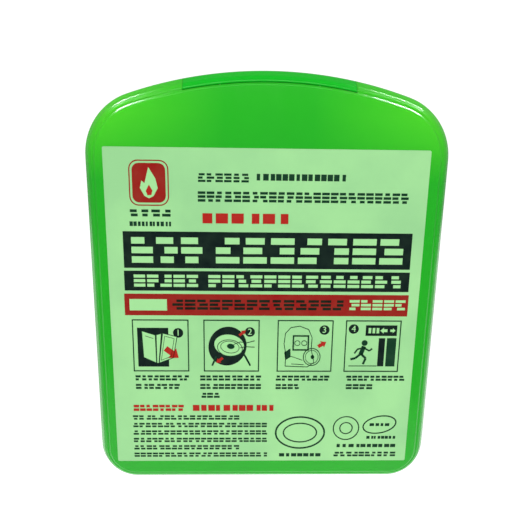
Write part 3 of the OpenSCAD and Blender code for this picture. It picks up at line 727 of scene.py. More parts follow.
def stroke(points, width):
    """A polyline as one quadrilateral for each leg."""
    shapes = []
    for (u0, v0), (u1, v1) in zip(points, points[1:]):
        length = math.hypot(u1 - u0, v1 - v0)
        nu, nv = -(v1 - v0) / length * width / 2, (u1 - u0) / length * width / 2
        shapes.append([(u0 + nu, v0 + nv), (u0 - nu, v0 - nv), (u1 - nu, v1 - nv), (u1 + nu, v1 + nv)])
    return shapes


def rounded_points(u0, u1, v0, v1, radius, steps=6):
    """A rounded rectangle on the label."""
    points = []
    for u, v, start in ((u1 - radius, v0 + radius, -90), (u1 - radius, v1 - radius, 0),
                        (u0 + radius, v1 - radius, 90), (u0 + radius, v0 + radius, 180)):
        points += arc((u, v), radius, start, start + 90, steps)
    return points


def ring_of(points, width):
    return stroke(points + points[:1], width)


def ring_strokes(u, v, ru, rv, width, tilt=0.0):
    return ring_of(ellipse(u, v, ru, rv, 40, tilt), width)


def greeked(u0, u1, v0, v1, cells, rows, rng, fill=0.86):
    """Stands for a line of print: each cell is a small stack of plain bars."""
    pitch = (u1 - u0) / cells
    height = (v1 - v0) / rows
    shapes = []
    for cell in range(cells):
        left = u0 + pitch * cell + pitch * (1 - fill) / 2
        for row in range(rows):
            wide = pitch * fill * rng.choice((0.62, 0.8, 1.0, 1.0))
            start = left + (pitch * fill - wide) * rng.choice((0.0, 0.5, 1.0))
            base = v0 + height * row
            shapes.append(rectangle(start, start + wide, base + height * 0.16, base + height * 0.84))
    return shapes


def print_piece(name, shapes, level, material):
    """Closed, paper-thin prints in label millimetres, level steps proud of the film."""
    bm = bmesh.new()
    for shape in shapes:
        points = [(LABEL_X + u * MM, LABEL_Z + v * MM) for u, v in shape]
        add_prism(bm, points, LABEL_LOW.y - PRINT_STEP * level, LABEL_LOW.y)
    return finish_piece(new_object(name, bm), "cover", material)


def digit_piece(text, u, v, height):
    """A step number as a thin mesh from the built-in font."""
    curve = bpy.data.curves.new("step_" + text, "FONT")
    curve.body = text
    curve.size = height * MM
    curve.align_x = "CENTER"
    curve.align_y = "CENTER"
    curve.extrude = PRINT_STEP
    obj = linked("step_" + text, curve)
    obj.matrix_world = (Matrix.Translation((LABEL_X + u * MM, LABEL_LOW.y - 3 * PRINT_STEP, LABEL_Z + v * MM))
                        @ Matrix.Rotation(math.radians(90), 4, "X"))
    bpy.context.view_layer.update()
    mesh = bpy.data.meshes.new_from_object(obj.evaluated_get(bpy.context.evaluated_depsgraph_get()))
    mesh.transform(obj.matrix_world)
    bpy.data.objects.remove(obj)
    return linked("step_" + text, mesh)


PICTO_SIDE = 27.56
PICTO_BOTTOM = 50.8
PICTO_LEFTS = (-64.9, -30.1, 6.3, 40.0)


def arrow(u, v, length, width, angle):
    """A block arrow, its tip length ahead of (u, v) along angle degrees."""
    c, s = math.cos(math.radians(angle)), math.sin(math.radians(angle))
    outline = [(0, width * 0.28), (length * 0.5, width * 0.28), (length * 0.5, width * 0.6), (length, 0),
               (length * 0.5, -width * 0.6), (length * 0.5, -width * 0.28), (0, -width * 0.28)]
    return [(u + p * c - q * s, v + p * s + q * c) for p, q in outline]


def placed(shapes, index):
    """Moves shapes from a drawing's own millimetres to the label's."""
    left = PICTO_LEFTS[index]
    return [[(left + u, PICTO_BOTTOM + v) for u, v in shape] for shape in shapes]


def drawing_open_case():
    """Step 1: a case opening at its top."""
    dark = [rectangle(2.4, 17.6, 2.6, 23.2)]
    left = [(5.2, 7.6), (11.4, 4.6), (11.2, 19.4), (4.6, 21.6)]
    right = [(12.8, 4.6), (19.8, 7.4), (21.8, 18.6), (14.8, 20.4)]
    spine = [(11.8, 4.6), (12.4, 4.6), (14.0, 20.2), (11.8, 19.4)]
    lines = ring_of(left, 0.35) + ring_of(right, 0.35)
    lines += ring_of([(13.8, 6.0), (18.8, 8.2), (20.4, 17.6), (15.8, 18.9)], 0.25)
    lines += stroke([(14.8, 20.4), (11.2, 19.4)], 0.3)
    lines += stroke([(6.2, 19.0), (10.2, 17.6)], 0.25)
    return dark, [left, right, spine], lines, [arrow(16.0, 12.4, 8.2, 5.4, -38)], (22.4, 20.6)


def drawing_pull_plugs():
    """Step 2: a canister out of its bag, both plugs drawn off."""
    bag = ellipse(11.8, 13.6, 9.4, 10.4, 40, -12)
    pale = [ellipse(12.6, 14.2, 7.4, 5.6, 40, -10)]
    lines = ring_strokes(13.0, 12.6, 6.2, 4.4, 0.35, -10) + ring_strokes(13.0, 13.2, 4.6, 3.1, 0.3, -10)
    lines += [ellipse(13.4, 13.6, 1.9, 1.4, 24, -10)]
    lines += stroke([(14.8, 14.6), (18.2, 16.0), (21.2, 15.4), (25.2, 16.6)], 0.35)
    lines += stroke([(18.0, 12.8), (20.6, 13.4), (25.2, 13.2)], 0.35)
    lines += stroke([(4.2, 3.2), (6.2, 8.2)], 0.9) + stroke([(20.0, 9.4), (23.2, 3.2)], 0.9)
    arrows = [arrow(17.6, 19.4, 4.2, 2.2, 40), arrow(9.4, 7.4, 4.2, 2.4, 220)]
    return [bag], pale, lines, arrows, (22.8, 21.2)


def drawing_put_on():
    """Step 3: the hood on a plain head shape, with its window and canister."""
    hood = [(4.2, 3.0), (4.4, 9.0), (3.4, 15.0), (4.0, 20.6), (6.6, 23.6), (11.0, 24.4),
            (15.4, 22.6), (17.2, 18.4), (17.0, 12.0), (18.6, 5.0), (15.4, 2.6)]
    lines = ring_of(hood, 0.35)
    lines += frame_bars(7.6, 15.8, 11.4, 19.6, 0.75)
    lines += ring_strokes(17.4, 8.0, 4.2, 4.6, 0.4) + ring_strokes(17.4, 8.0, 3.2, 3.6, 0.25)
    lines += [ellipse(17.8, 8.0, 0.9, 1.1, 20)]
    lines += [[(3.6, 10.4), (6.6, 12.6), (6.8, 8.0), (4.2, 6.2)]]
    lines += stroke([(6.8, 8.4), (12.8, 6.2)], 0.3) + stroke([(7.2, 4.2), (13.6, 3.8)], 0.3)
    lines += ring_strokes(10.0, 15.4, 1.3, 1.3, 0.3) + ring_strokes(13.4, 15.4, 1.3, 1.3, 0.3)
    return [], [], lines, [arrow(20.4, 13.6, 4.6, 3.2, 32)], (23.2, 22.4)


def drawing_escape():
    """Step 4: a figure running to a door under a plain sign."""
    sign = rectangle(10.0, 25.6, 19.4, 25.0)
    door = rectangle(16.8, 20.0, 3.0, 18.2)
    letters = [rectangle(11.4 + 2.0 * i, 12.7 + 2.0 * i, 20.8, 23.6) for i in range(3)]
    pale = [arrow(20.8, 22.2, -3.6, 2.6, 0)] + letters + [arrow(22.2, 22.2, 2.6, 2.2, 0)]
    lines = [ellipse(9.8, 15.6, 1.5, 1.5, 24)]
    limbs = (([(9.6, 13.8), (8.2, 9.6)], 2.2), ([(8.2, 9.8), (10.8, 7.4), (9.6, 4.2)], 1.1),
             ([(8.0, 9.6), (5.6, 7.4), (3.2, 6.8)], 1.1), ([(9.6, 13.0), (12.4, 11.4), (13.8, 12.6)], 0.8),
             ([(9.0, 13.0), (6.4, 12.2), (5.0, 10.0)], 0.8), ([(2.4, 3.2), (16.6, 3.2)], 0.4))
    for points, width in limbs:
        lines += stroke(points, width)
    lines += [rectangle(20.9, 25.6, 3.0, 18.2)]
    return [sign, door], pale, lines, [], (4.0, 23.0)


def type_rows(rows, rng):
    """Several lines of print; each row is (u0, u1, v0, v1, cells, rows) and perhaps a fill."""
    shapes = []
    for u0, u1, v0, v1, cells, lines, *fill in rows:
        shapes += greeked(u0, u1, v0, v1, cells, lines, rng, *fill)
    return shapes


# Rows of print in label millimetres: left, right, bottom, top, cells, bars to a cell, and perhaps a fill.
PALE_TYPE = [(-64.4, -29.4, 106.2, 120.2, 3, 3), (-24.8, 66.4, 106.2, 120.2, 7, 3),
             (-63.5, -32.0, 94.7, 101.5, 5, 3), (-28.0, 66.0, 94.7, 101.5, 14, 3)]
PALE_BAND_TYPE = [(40.8, 69.0, 83.4, 89.2, 5, 3)]
BLACK_TYPE = [(-45.4, 38.6, 83.2, 89.0, 14, 3)]
HEAD_TYPE = [(-64.1, -44.3, 129.0, 132.9, 4, 2, 0.8), (-64.1, -44.3, 124.2, 127.4, 11, 1),
             (-32.2, -8.3, 145.4, 149.9, 6, 3), (-5.2, 36.4, 145.9, 150.4, 14, 1),
             (-32.4, 66.4, 136.2, 141.6, 24, 3)]
CAPTION_TYPE = [(-64.4, -37.4, 45.6, 48.9, 9, 2), (-64.4, -42.0, 40.9, 44.2, 7, 2),
                (-32.2, -1.2, 45.6, 48.9, 10, 2), (-32.2, -1.2, 40.9, 44.2, 10, 2),
                (-32.2, -22.0, 36.0, 39.3, 3, 2),
                (5.8, 33.2, 45.6, 48.9, 9, 2), (5.8, 18.0, 40.9, 44.2, 4, 2),
                (41.4, 71.4, 45.6, 48.9, 10, 2), (41.4, 55.4, 40.9, 44.2, 4, 2)]
NOTE_LEFT, NOTE_TOP, NOTE_PITCH = -66.6, 26.6, 4.3
NOTE_RIGHTS = (-12.0, 2.2, 2.4, 2.4, -12.0, 2.6)
STAMP_TYPE = [(8.4, 30.6, 2.0, 4.8, 7, 1)]
MARK_TYPE = [(55.0, 65.6, 19.8, 22.2, 4, 1), (53.8, 69.2, 12.4, 14.8, 8, 1), (38.4, 69.6, 7.4, 10.2, 10, 1),
             (37.0, 70.0, 2.2, 5.4, 10, 2)]
BRIGHT_TYPE = [(-32.0, 12.0, 125.2, 132.2, 6, 1, 0.78), (-66.0, -40.2, 28.6, 32.6, 8, 2),
               (-36.1, 6.7, 28.2, 33.0, 11, 1)]
FLAME = [(-54.5, 152.2), (-51.4, 147.0), (-50.4, 142.6), (-52.4, 138.9), (-54.5, 137.8), (-56.6, 138.9),
         (-58.6, 142.6), (-57.8, 146.0), (-56.4, 144.8)]
FLAME_HEART = [(-54.4, 144.2), (-52.9, 141.4), (-53.4, 139.4), (-55.2, 139.2), (-55.9, 141.2)]


def note_type():
    """The rows of the paragraph at the lower left, each one line pitch below the last."""
    tops = [NOTE_TOP - NOTE_PITCH * line for line in range(len(NOTE_RIGHTS))]
    return [(NOTE_LEFT, right, top - 2.9, top, int((right - NOTE_LEFT) / 3.1), 2)
            for right, top in zip(NOTE_RIGHTS, tops)]


def approval_marks():
    """Plain rings where the photo has round stamps and marks."""
    rings = ((19.2, 16.4, 12.6, 9.0, 0.9), (19.2, 16.4, 8.6, 5.4, 0.7), (43.0, 19.0, 6.6, 6.6, 0.6),
             (43.0, 19.0, 3.2, 3.2, 0.6), (60.3, 21.0, 8.6, 4.8, 0.7, 12))
    return [shape for ring in rings for shape in ring_strokes(*ring)]


def build_label_print():
    """All the print: bands, greeked type, the badge, the marks and the four drawings with their numbers."""
    rng = random.Random(7)
    colours = {"navy": INK_NAVY, "green": INK_GREEN, "red": INK_RED, "bright_red": INK_BRIGHT_RED,
               "pale": LABEL_GREEN, "black": linear(16, 14, 12)}
    inks = {name: ink("ink_" + name, colour) for name, colour in colours.items()}
    navy = [rectangle(-67.4, 69.4, 104.4, 122.2), rectangle(-67.6, 69.6, 93.1, 103.0)]
    red = [rectangle(-68.0, 70.0, 80.5, 91.5)]
    red += ring_of(rounded_points(-63.3, -45.6, 134.6, 155.2, 4.0), 0.55)
    red += [rounded_points(-62.1, -46.8, 135.8, 154.0, 3.2)]
    pale = type_rows(PALE_TYPE, rng) + [rectangle(-65.6, -47.6, 83.0, 88.8)] + type_rows(PALE_BAND_TYPE, rng)
    black = type_rows(BLACK_TYPE, rng)
    green = type_rows(HEAD_TYPE + CAPTION_TYPE + note_type() + STAMP_TYPE + MARK_TYPE, rng) + approval_marks()
    bright = type_rows(BRIGHT_TYPE, rng)
    lines = []
    for index, drawing in enumerate((drawing_open_case, drawing_pull_plugs, drawing_put_on, drawing_escape)):
        dark, light, inked, red_arrows, disc = drawing()
        navy += placed(dark + [ellipse(*disc, 2.5)], index)
        pale += placed(light, index)
        lines += placed(inked, index)
        bright += placed(red_arrows, index)
        left = PICTO_LEFTS[index]
        lines += frame_bars(left, left + PICTO_SIDE, PICTO_BOTTOM, PICTO_BOTTOM + PICTO_SIDE, 0.55)
        number = digit_piece(str(index + 1), left + disc[0], PICTO_BOTTOM + disc[1], 4.6)
        finish_piece(number, "cover", inks["pale"])
    print_piece("print_navy", navy, 1, inks["navy"])
    print_piece("print_red", red, 1, inks["red"])
    print_piece("print_green", green, 1, inks["green"])
    print_piece("print_pale", pale + [FLAME], 2, inks["pale"])
    print_piece("print_black", black, 2, inks["black"])
    print_piece("print_lines", lines, 3, inks["green"])
    print_piece("print_bright_red", bright + [FLAME_HEART], 3, inks["bright_red"])


# ---------- Contents: shared shapes ----------

BAG_LOW, BAG_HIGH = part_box("bag_front_film")
BAG_BACK_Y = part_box("bag_back_film")[1].y
HOOD_LOW, HOOD_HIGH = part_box("hood_fabric")
CAN_LOW, CAN_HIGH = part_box("canister_front_cap")
CAN_R = (CAN_HIGH.x - CAN_LOW.x) / 2
CAN_Z = (CAN_HIGH.z + CAN_LOW.z) / 2
PLUG_LOW, PLUG_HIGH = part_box("front_plug")
PLUG_R = (PLUG_HIGH.x - PLUG_LOW.x) / 2
SEAL_W = 5 * MM


def rounded_outline(low, high, top_r, low_r, count):
    """Evenly spaced points round a rounded rectangle in X-Z, from (x, z) low to high, anticlockwise."""
    x0, z0 = low
    x1, z1 = high
    corners = [(x1 - low_r, z0 + low_r, low_r, -90), (x1 - top_r, z1 - top_r, top_r, 0),
               (x0 + top_r, z1 - top_r, top_r, 90), (x0 + low_r, z0 + low_r, low_r, 180)]
    points = []
    for x, z, radius, start in corners:
        points += arc((x, z), radius, start, start + 90, 24)
    return resampled(points, count)


def resampled(points, count):
    """The same closed line with count evenly spaced points."""
    loop = [Vector((p[0], p[1])) for p in points] + [Vector((points[0][0], points[0][1]))]
    lengths = [0.0]
    for first, second in zip(loop, loop[1:]):
        lengths.append(lengths[-1] + (second - first).length)
    found = []
    leg = 0
    for i in range(count):
        along = lengths[-1] * i / count
        while lengths[leg + 1] < along:
            leg += 1
        span = lengths[leg + 1] - lengths[leg]
        share = (along - lengths[leg]) / span if span > 0 else 0.0
        found.append(loop[leg].lerp(loop[leg + 1], share))
    return found


def inward(points):
    """Unit normals that point into an anticlockwise loop."""
    count = len(points)
    normals = []
    for i in range(count):
        along = points[(i + 1) % count] - points[i - 1]
        normals.append(Vector((-along.y, along.x)).normalized())
    return normals


def smooth(value, low, high):
    """0 at low, 1 at high, smooth between; works downhill as well."""
    share = min(1.0, max(0.0, (value - low) / (high - low)))
    return share * share * (3 - 2 * share)


def ridges(x, y, z, size, seed=0.0):
    """Crease-like noise from 0 to 1, size in metres."""
    value = noise.noise(Vector((x / size + seed, y / size - seed, z / size + 2 * seed)))
    return 1 - min(1.0, 2.2 * abs(value))


def ripple(x, y, z, size, seed=0.0):
    """Soft noise from -1 to 1, size in metres."""
    return noise.noise(Vector((x / size - seed, y / size + seed, z / size + seed)))


def solidified(obj, thickness, offset=0.0):
    modifier = obj.modifiers.new("thickness", "SOLIDIFY")
    modifier.thickness = thickness
    modifier.offset = offset
    return apply_modifiers(obj)


def bevelled(obj, width, segments):
    modifier = obj.modifiers.new("bevel", "BEVEL")
    modifier.width = width
    modifier.segments = segments
    modifier.limit_method = "ANGLE"
    modifier.angle_limit = math.radians(40)
    return apply_modifiers(obj, 50)


def section_ring(y0, y1, r_in, r_out, radius, steps=4):
    """Closed (y, r) section of a ring with rounded edges, walked in order."""
    points = []
    for cy, cr, start in ((y1 - radius, r_out - radius, 0), (y0 + radius, r_out - radius, 90),
                          (y0 + radius, r_in + radius, 180), (y1 - radius, r_in + radius, 270)):
        for i in range(steps + 1):
            a = math.radians(start + 90 * i / steps)
            points.append((cy + radius * math.cos(a), cr + radius * math.sin(a)))
    return points


# ---------- Vacuum bag ----------


def build_film(name, seal_y, top_y, bump_y, seed):
    """One half of the bag: a flat seal, walls drawn in on the pack, and a creased top tented over the plug."""
    out = math.copysign(1, top_y - seal_y)
    low, high = (BAG_LOW.x + SEAL_W, BAG_LOW.z + SEAL_W), (BAG_HIGH.x - SEAL_W, BAG_HIGH.z - SEAL_W)
    outline = rounded_outline(low, high, 24 * MM, 14 * MM, 260)
    normals = inward(outline)
    centre = Vector((0, (BAG_LOW.z + BAG_HIGH.z) / 2))
    rings = [(-SEAL_W, 0.0), (-2.5 * MM, 0.0), (-0.6 * MM, 0.0), (0.2 * MM, 0.03)]
    rings += [(0.4 * MM + 1.2 * MM * i / 12, 0.06 + 0.88 * i / 12) for i in range(13)]
    rings += [(1.6 * MM + 3.4 * MM * (1 - c), 0.94 + 0.06 * s) for s, c in turn(8)[1:]]
    bm = bmesh.new()
    loops = []
    for inset, share in rings:
        loop = []
        for point, normal in zip(outline, normals):
            held = smooth(inset, 0.0, 1.5 * MM)
            y = seal_y + (top_y - seal_y) * share
            pleat = ridges(point.x, y * 0.25, point.y, 11 * MM, seed) - 0.45
            place = point + normal * (inset + held * (1.5 * MM * pleat + 0.6 * MM))
            dent = 0.7 * MM * ripple(point.x, y, point.y, 13 * MM, seed) * held
            loop.append(bm.verts.new((place.x, y + dent, place.y)))
        loops.append(loop)
    edge = [Vector((v.co.x, v.co.z)) for v in loops[-1]]

    def on_top(place):
        return (place.x, film_top(place.x, place.y, top_y, bump_y, out, seed), place.y)

    steps = 46
    for ring in range(1, steps):
        loops.append([bm.verts.new(on_top(centre + (point - centre) * (1 - ring / steps))) for point in edge])
    bridge(bm, loops)
    fan(bm, loops[-1], on_top(centre))
    return solidified(new_object(name, bm, 60), 0.16 * MM, -1.0)


def film_top(x, z, top_y, bump_y, out, seed):
    """The film's top surface: tented over a plug, creased, and pleated round the plug."""
    r = math.hypot(x, z - CAN_Z)
    y = top_y + (bump_y - top_y) * smooth(r, PLUG_R + 17 * MM, PLUG_R + 1.5 * MM)
    calm = 0.35 + 0.65 * smooth(r, PLUG_R + 2 * MM, PLUG_R + 14 * MM)
    crease = ridges(x, 0, z, 27 * MM, seed) ** 3 * 1.5 * MM
    crease += ridges(x, 0, z, 10 * MM, seed + 3) ** 2 * 0.7 * MM
    angle = math.atan2(z - CAN_Z, x)
    pleats = max(0.0, math.cos(17 * angle + 2 * ripple(x, 0, z, 30 * MM))) ** 3
    near_plug = smooth(r, PLUG_R + 2 * MM, PLUG_R + 9 * MM) * smooth(r, PLUG_R + 34 * MM, PLUG_R + 14 * MM)
    return y + out * min(crease * calm + 1.1 * MM * pleats * near_plug, 1.9 * MM)


# ---------- Folded hood ----------

HOOD_CORNER_R = 26 * MM


def aluminised_cloth():
    """Aluminised woven cloth: bright face, thread pattern and sharp crinkles."""
    shader = Shader("aluminised_cloth", linear(178, 182, 184), 0.34, Metallic=0.75)
    crinkle = shader.voronoi(95)
    mottle = shader.noise(36, 5, distortion=0.7)
    shader.colour_by(shader.ranged(mottle, 0, 1, 0.3, 0.7), linear(138, 143, 147), linear(206, 209, 210))
    shader.roughness_by(crinkle, 0.26, 0.5)
    shader.bump_by(crinkle, 0.0012, 0.7)
    shader.bump_by(shader.noise(320, 4, distortion=1.0), 0.0003, 0.7)
    shader.bump_by(shader.weave(1400), 0.00004, 0.5)
    return shader.material


def hood_reach(angle):
    """Distance from the canister's axis to the hood block's outline in a direction."""
    inset = 0.4 * MM
    direction = Vector((math.cos(angle), math.sin(angle)))
    half_w = HOOD_HIGH.x - inset
    low, high = HOOD_LOW.z + inset, HOOD_HIGH.z - inset
    best = 1.0
    if abs(direction.x) > 1e-6:
        best = min(best, half_w / abs(direction.x))
    if abs(direction.y) > 1e-6:
        best = min(best, ((high if direction.y > 0 else low) - CAN_Z) / direction.y)
    x, z = best * direction.x, CAN_Z + best * direction.y
    for corner_r, corner_z, sign in ((HOOD_CORNER_R, high, 1), (10 * MM, low, -1)):
        centre = Vector((math.copysign(half_w - corner_r, x), corner_z - sign * corner_r))
        if abs(x) > half_w - corner_r and (z - centre.y) * sign > 0:
            to_centre = Vector((centre.x, centre.y - CAN_Z))
            along = to_centre.dot(direction)
            across = to_centre.length_squared - along * along
            best = along + math.sqrt(max(0.0, corner_r ** 2 - across))
    return best


def build_hood():
    """The hood folded zigzag round the canister and the mask: six plies, each bulging where it is folded."""
    bm = bmesh.new()
    plies, columns = 6, 220
    depth = (HOOD_HIGH.y - HOOD_LOW.y) / plies
    for ply in range(plies):
        middle = HOOD_LOW.y + ply * depth + depth / 2
        hole = CAN_R + (2.4 * MM if middle < CAN_HIGH.y + 22 * MM else 0.4 * MM)
        rings = []
        for column in range(columns):
            angle = 2 * math.pi * column / columns
            bulge = 0.5 * MM * (1 + math.sin(3.1 * ply + 2 * angle))
            bulge += 0.9 * MM * ridges(math.cos(angle), middle, math.sin(angle), 0.21, ply * 1.7)
            far = hood_reach(angle) - bulge
            rings.append(hood_section(angle, min(hole, far - 1.2 * MM), far, middle, depth, ply))
        add_rings(bm, transposed(rings), closed_profile=True)
    return new_object("hood_cloth", bm, 70)


def transposed(rings):
    return [list(column) for column in zip(*rings)]


def hood_section(angle, near, far, middle, depth, ply):
    """One ply's closed section in the plane through the canister's axis at an angle."""
    across = far - near
    half = depth / 2 - 0.12 * MM
    round_r = min(half, across / 2 - 0.05 * MM)
    flat = 15
    bends = [math.radians(a) for a in range(20, 161, 20)]
    front = [(near + round_r + (across - 2 * round_r) * i / flat, -1) for i in range(flat + 1)]
    nose = [(far - round_r + round_r * math.sin(a), -math.cos(a)) for a in bends]
    back = [(r, 1) for r, side in reversed(front)]
    heel = [(near + round_r - round_r * math.sin(a), math.cos(a)) for a in bends]
    section = []
    for r, side in front + nose + back + heel:
        x, z = r * math.cos(angle), CAN_Z + r * math.sin(angle)
        crush = hood_wrinkle(x, z, ply) * (1 if side < 0 else -0.4)
        quiet = smooth(r, near, near + 6 * MM) * smooth(r, far, far - 5 * MM)
        section.append((x, middle + side * half + crush * quiet * (1.0 if ply == 0 or side > 0 else 0.3), z))
    return section


def hood_wrinkle(x, z, ply):
    """Creases pressed in by the bag: never proud of the ply's face."""
    long_fold = ridges(x, ply * 0.01, z, 34 * MM, 5.0 + ply) ** 3
    short_fold = ridges(x, ply * 0.01, z, 11 * MM, 9.0 + ply) ** 2
    hollow = 0.5 + 0.5 * ripple(x, 0, z, 24 * MM, 2.0 + ply)
    return 1.6 * MM * hollow + 1.5 * MM * (1 - long_fold) + 0.8 * MM * (1 - short_fold)


def flap_size():
    """Lower left and upper right of the flap that lies across the bundle."""
    half = HOOD_HIGH.x - 9 * MM
    return (-half, CAN_Z + CAN_R + 2.6 * MM), (half, HOOD_HIGH.z - 4 * MM)


def build_hood_flap():
    """The hood's last turn: a flap folded across the bundle above the canister."""
    bm = bmesh.new()
    columns, rows = 90, 40
    (x0, z0), (x1, z1) = flap_size()
    grid = []
    for row in range(rows + 1):
        v = row / rows
        line = []
        for column in range(columns + 1):
            u = column / columns
            x = x0 + (x1 - x0) * u
            z = min(z0 + (z1 - z0) * v + 1.2 * MM * math.sin(9 * u + 1) * (1 - v), hood_top_at(x))
            y = HOOD_LOW.y + 0.2 * MM + 1.2 * MM * (1 - ridges(x, 0, z, 23 * MM, 4.0) ** 2)
            y += 0.45 * MM * (1 - ridges(x, 0, z, 9 * MM, 7.0))
            line.append(bm.verts.new((x, y, z)))
        grid.append(line)
    for low, high in zip(grid, grid[1:]):
        for column in range(columns):
            bm.faces.new((low[column], low[column + 1], high[column + 1], high[column]))
    return solidified(new_object("hood_flap", bm, 70), 0.35 * MM)


def hood_top_at(x):
    """Top of the bundle's rounded outline at x, less a margin."""
    past = max(0.0, abs(x) - (HOOD_HIGH.x - HOOD_CORNER_R))
    return HOOD_HIGH.z - 4 * MM - HOOD_CORNER_R + math.sqrt(max(0.0, HOOD_CORNER_R ** 2 - past ** 2))


# ---------- Visor, straps and collar ----------


def rounded_sheet(name, low, high, corner_r, y_at, thickness, hole=0.0):
    """A sheet in X-Z with rounded corners, at y_at(x, z); hole is the border's width if it is a frame."""
    outer = rounded_outline(low, high, corner_r, corner_r, 160)
    normals = inward(outer)
    centre = (Vector(low) + Vector(high)) / 2
    bm = bmesh.new()

    def on_sheet(place):
        return bm.verts.new((place.x, y_at(place.x, place.y), place.y))

    if hole:
        steps = 6
        loops = []
        for ring in range(steps + 1):
            loops.append([on_sheet(p + n * hole * ring / steps) for p, n in zip(outer, normals)])
        bridge(bm, loops)
    else:
        steps = 16
        loops = [[on_sheet(p.lerp(centre, ring / (steps + 1))) for p in outer] for ring in range(steps + 1)]
        bridge(bm, loops)
        fan(bm, loops[-1], (centre.x, y_at(centre.x, centre.y), centre.y))
    return solidified(new_object(name, bm, 60), thickness)


def stitches(name, points, length, width, lift, axis_y):
    """Short thread stitches laid along a closed line of (x, z) points."""
    bm = bmesh.new()
    line = resampled(points, int(perimeter(points) / (length * 1.6)))
    count = len(line)
    for i in range(count):
        along = (line[(i + 1) % count] - line[i]).normalized()
        across = Vector((-along.y, along.x))
        rings = []
        for step in range(5):
            t = step / 4
            grow = math.sin(math.pi * min(0.97, max(0.03, t)))
            middle = line[i] + along * length * t
            ring = []
            thread_r = width / 2 * (0.5 + 0.5 * grow)
            for side in range(6):
                a = math.pi * side / 3
                place = middle + across * thread_r * math.cos(a)
                ring.append((place.x, axis_y - lift * grow - thread_r * math.sin(a), place.y))
            rings.append(ring)
        add_rings(bm, rings)
    return new_object(name, bm, 60)


def perimeter(points):
    return sum(math.dist(a, b) for a, b in zip(points, points[1:] + points[:1]))


def clear_visor():
    shader = Shader("visor_film", (0.86, 0.93, 0.95, 1), 0.08, Alpha=0.35, IOR=1.5)
    shader.bsdf.inputs["Specular IOR Level"].default_value = 0.9
    haze = shader.noise(90, 4)
    shader.colour_by(shader.ranged(haze, 0, 1, 0.3, 0.7), (0.74, 0.83, 0.86, 1), (0.9, 0.96, 0.98, 1))
    scratches = shader.noise(700, 2, shader.mapped((0.06, 1, 1)))
    shader.roughness_by(scratches, 0.04, 0.2)
    shader.bump_by(scratches, 0.00001, 0.5)
    shader.bump_by(shader.noise(30, 2), 0.0004, 0.4)
    return shader.material


def woven(name, colour, light, threads, roughness=0.75):
    """Woven tape or cloth with visible threads and fuzz; its colour follows the weave, painted shade between
    the threads and painted sheen on their crests, which take the light colour.
    """
    shader = Shader(name, colour, roughness, Sheen_Weight=0.35)
    weave = shader.weave(threads)
    # Painted shade between the threads and painted sheen on their crests.
    shader.colour_by(weave, colour, light)
    shader.roughness_by(weave, roughness - 0.1, roughness + 0.12)
    shader.bump_by(weave, 0.0002, 0.8)
    shader.bump_by(shader.noise(2600, 3), 0.00005, 0.6)
    return shader.material


def build_strap(side):
    """An elastic strap with bound edges, lying in soft waves."""
    low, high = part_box("head_straps")
    width, rows, columns = 15 * MM, 70, 12
    middle_x = side * (high.x - width / 2)
    mid_y, thick = (low.y + high.y) / 2, (high.y - low.y) * 0.82
    rings = []
    for row in range(rows + 1):
        t = row / rows
        z = low.z + (high.z - low.z) * t
        wave = 0.09 * MM * math.sin(17 * t)
        front, back = [], []
        for column in range(columns + 1):
            u = -1 + 2 * column / columns
            x = middle_x + u * width / 2 * 0.985
            half = (thick / 2 - 0.05 * MM) * (1 - 0.35 * smooth(abs(u), 0.86, 1.0))
            front.append((x, mid_y + wave - half + 0.04 * MM * math.cos(26 * u), z))
            back.append((x, mid_y + wave + half, z))
        rings.append(front + back[::-1])
    return made("head_strap_" + ("right" if side > 0 else "left"), lambda bm: add_rings(bm, rings), 60)


def build_buckle(name):
    """A two-bar slider: the CAD slider's shape with rounded bars and a grip on its front plate."""
    low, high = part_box(name)
    middle, half_w = (low.x + high.x) / 2, (high.x - low.x) / 2
    strap_low, strap_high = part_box("head_straps")
    slot_half, grip_half, play = 7.8 * MM, 7 * MM, 0.25 * MM
    bar_h = 4 * MM
    bm = bmesh.new()
    for z0 in (low.z, high.z - bar_h):
        add_box(bm, (middle - half_w, low.y, z0), (middle + half_w, strap_low.y - play, z0 + bar_h))
    for edge in (-1, 1):
        x0, x1 = sorted((middle + edge * slot_half, middle + edge * half_w))
        add_box(bm, (x0, low.y + 0.02 * MM, low.z + 0.02 * MM), (x1, high.y, high.z - 0.02 * MM))
    add_box(bm, (middle - half_w + 0.02 * MM, strap_high.y + play, low.z + 0.03 * MM),
            (middle + half_w - 0.02 * MM, high.y - 0.01 * MM, high.z - 0.03 * MM))
    for k in range(4):
        z = low.z + 0.7 * MM + 0.8 * MM * k
        add_box(bm, (middle - grip_half, low.y, z), (middle + grip_half, low.y + 0.3 * MM, z + 0.35 * MM))
    return bevelled(new_object(name + "_slider", bm), 0.25 * MM, 2)


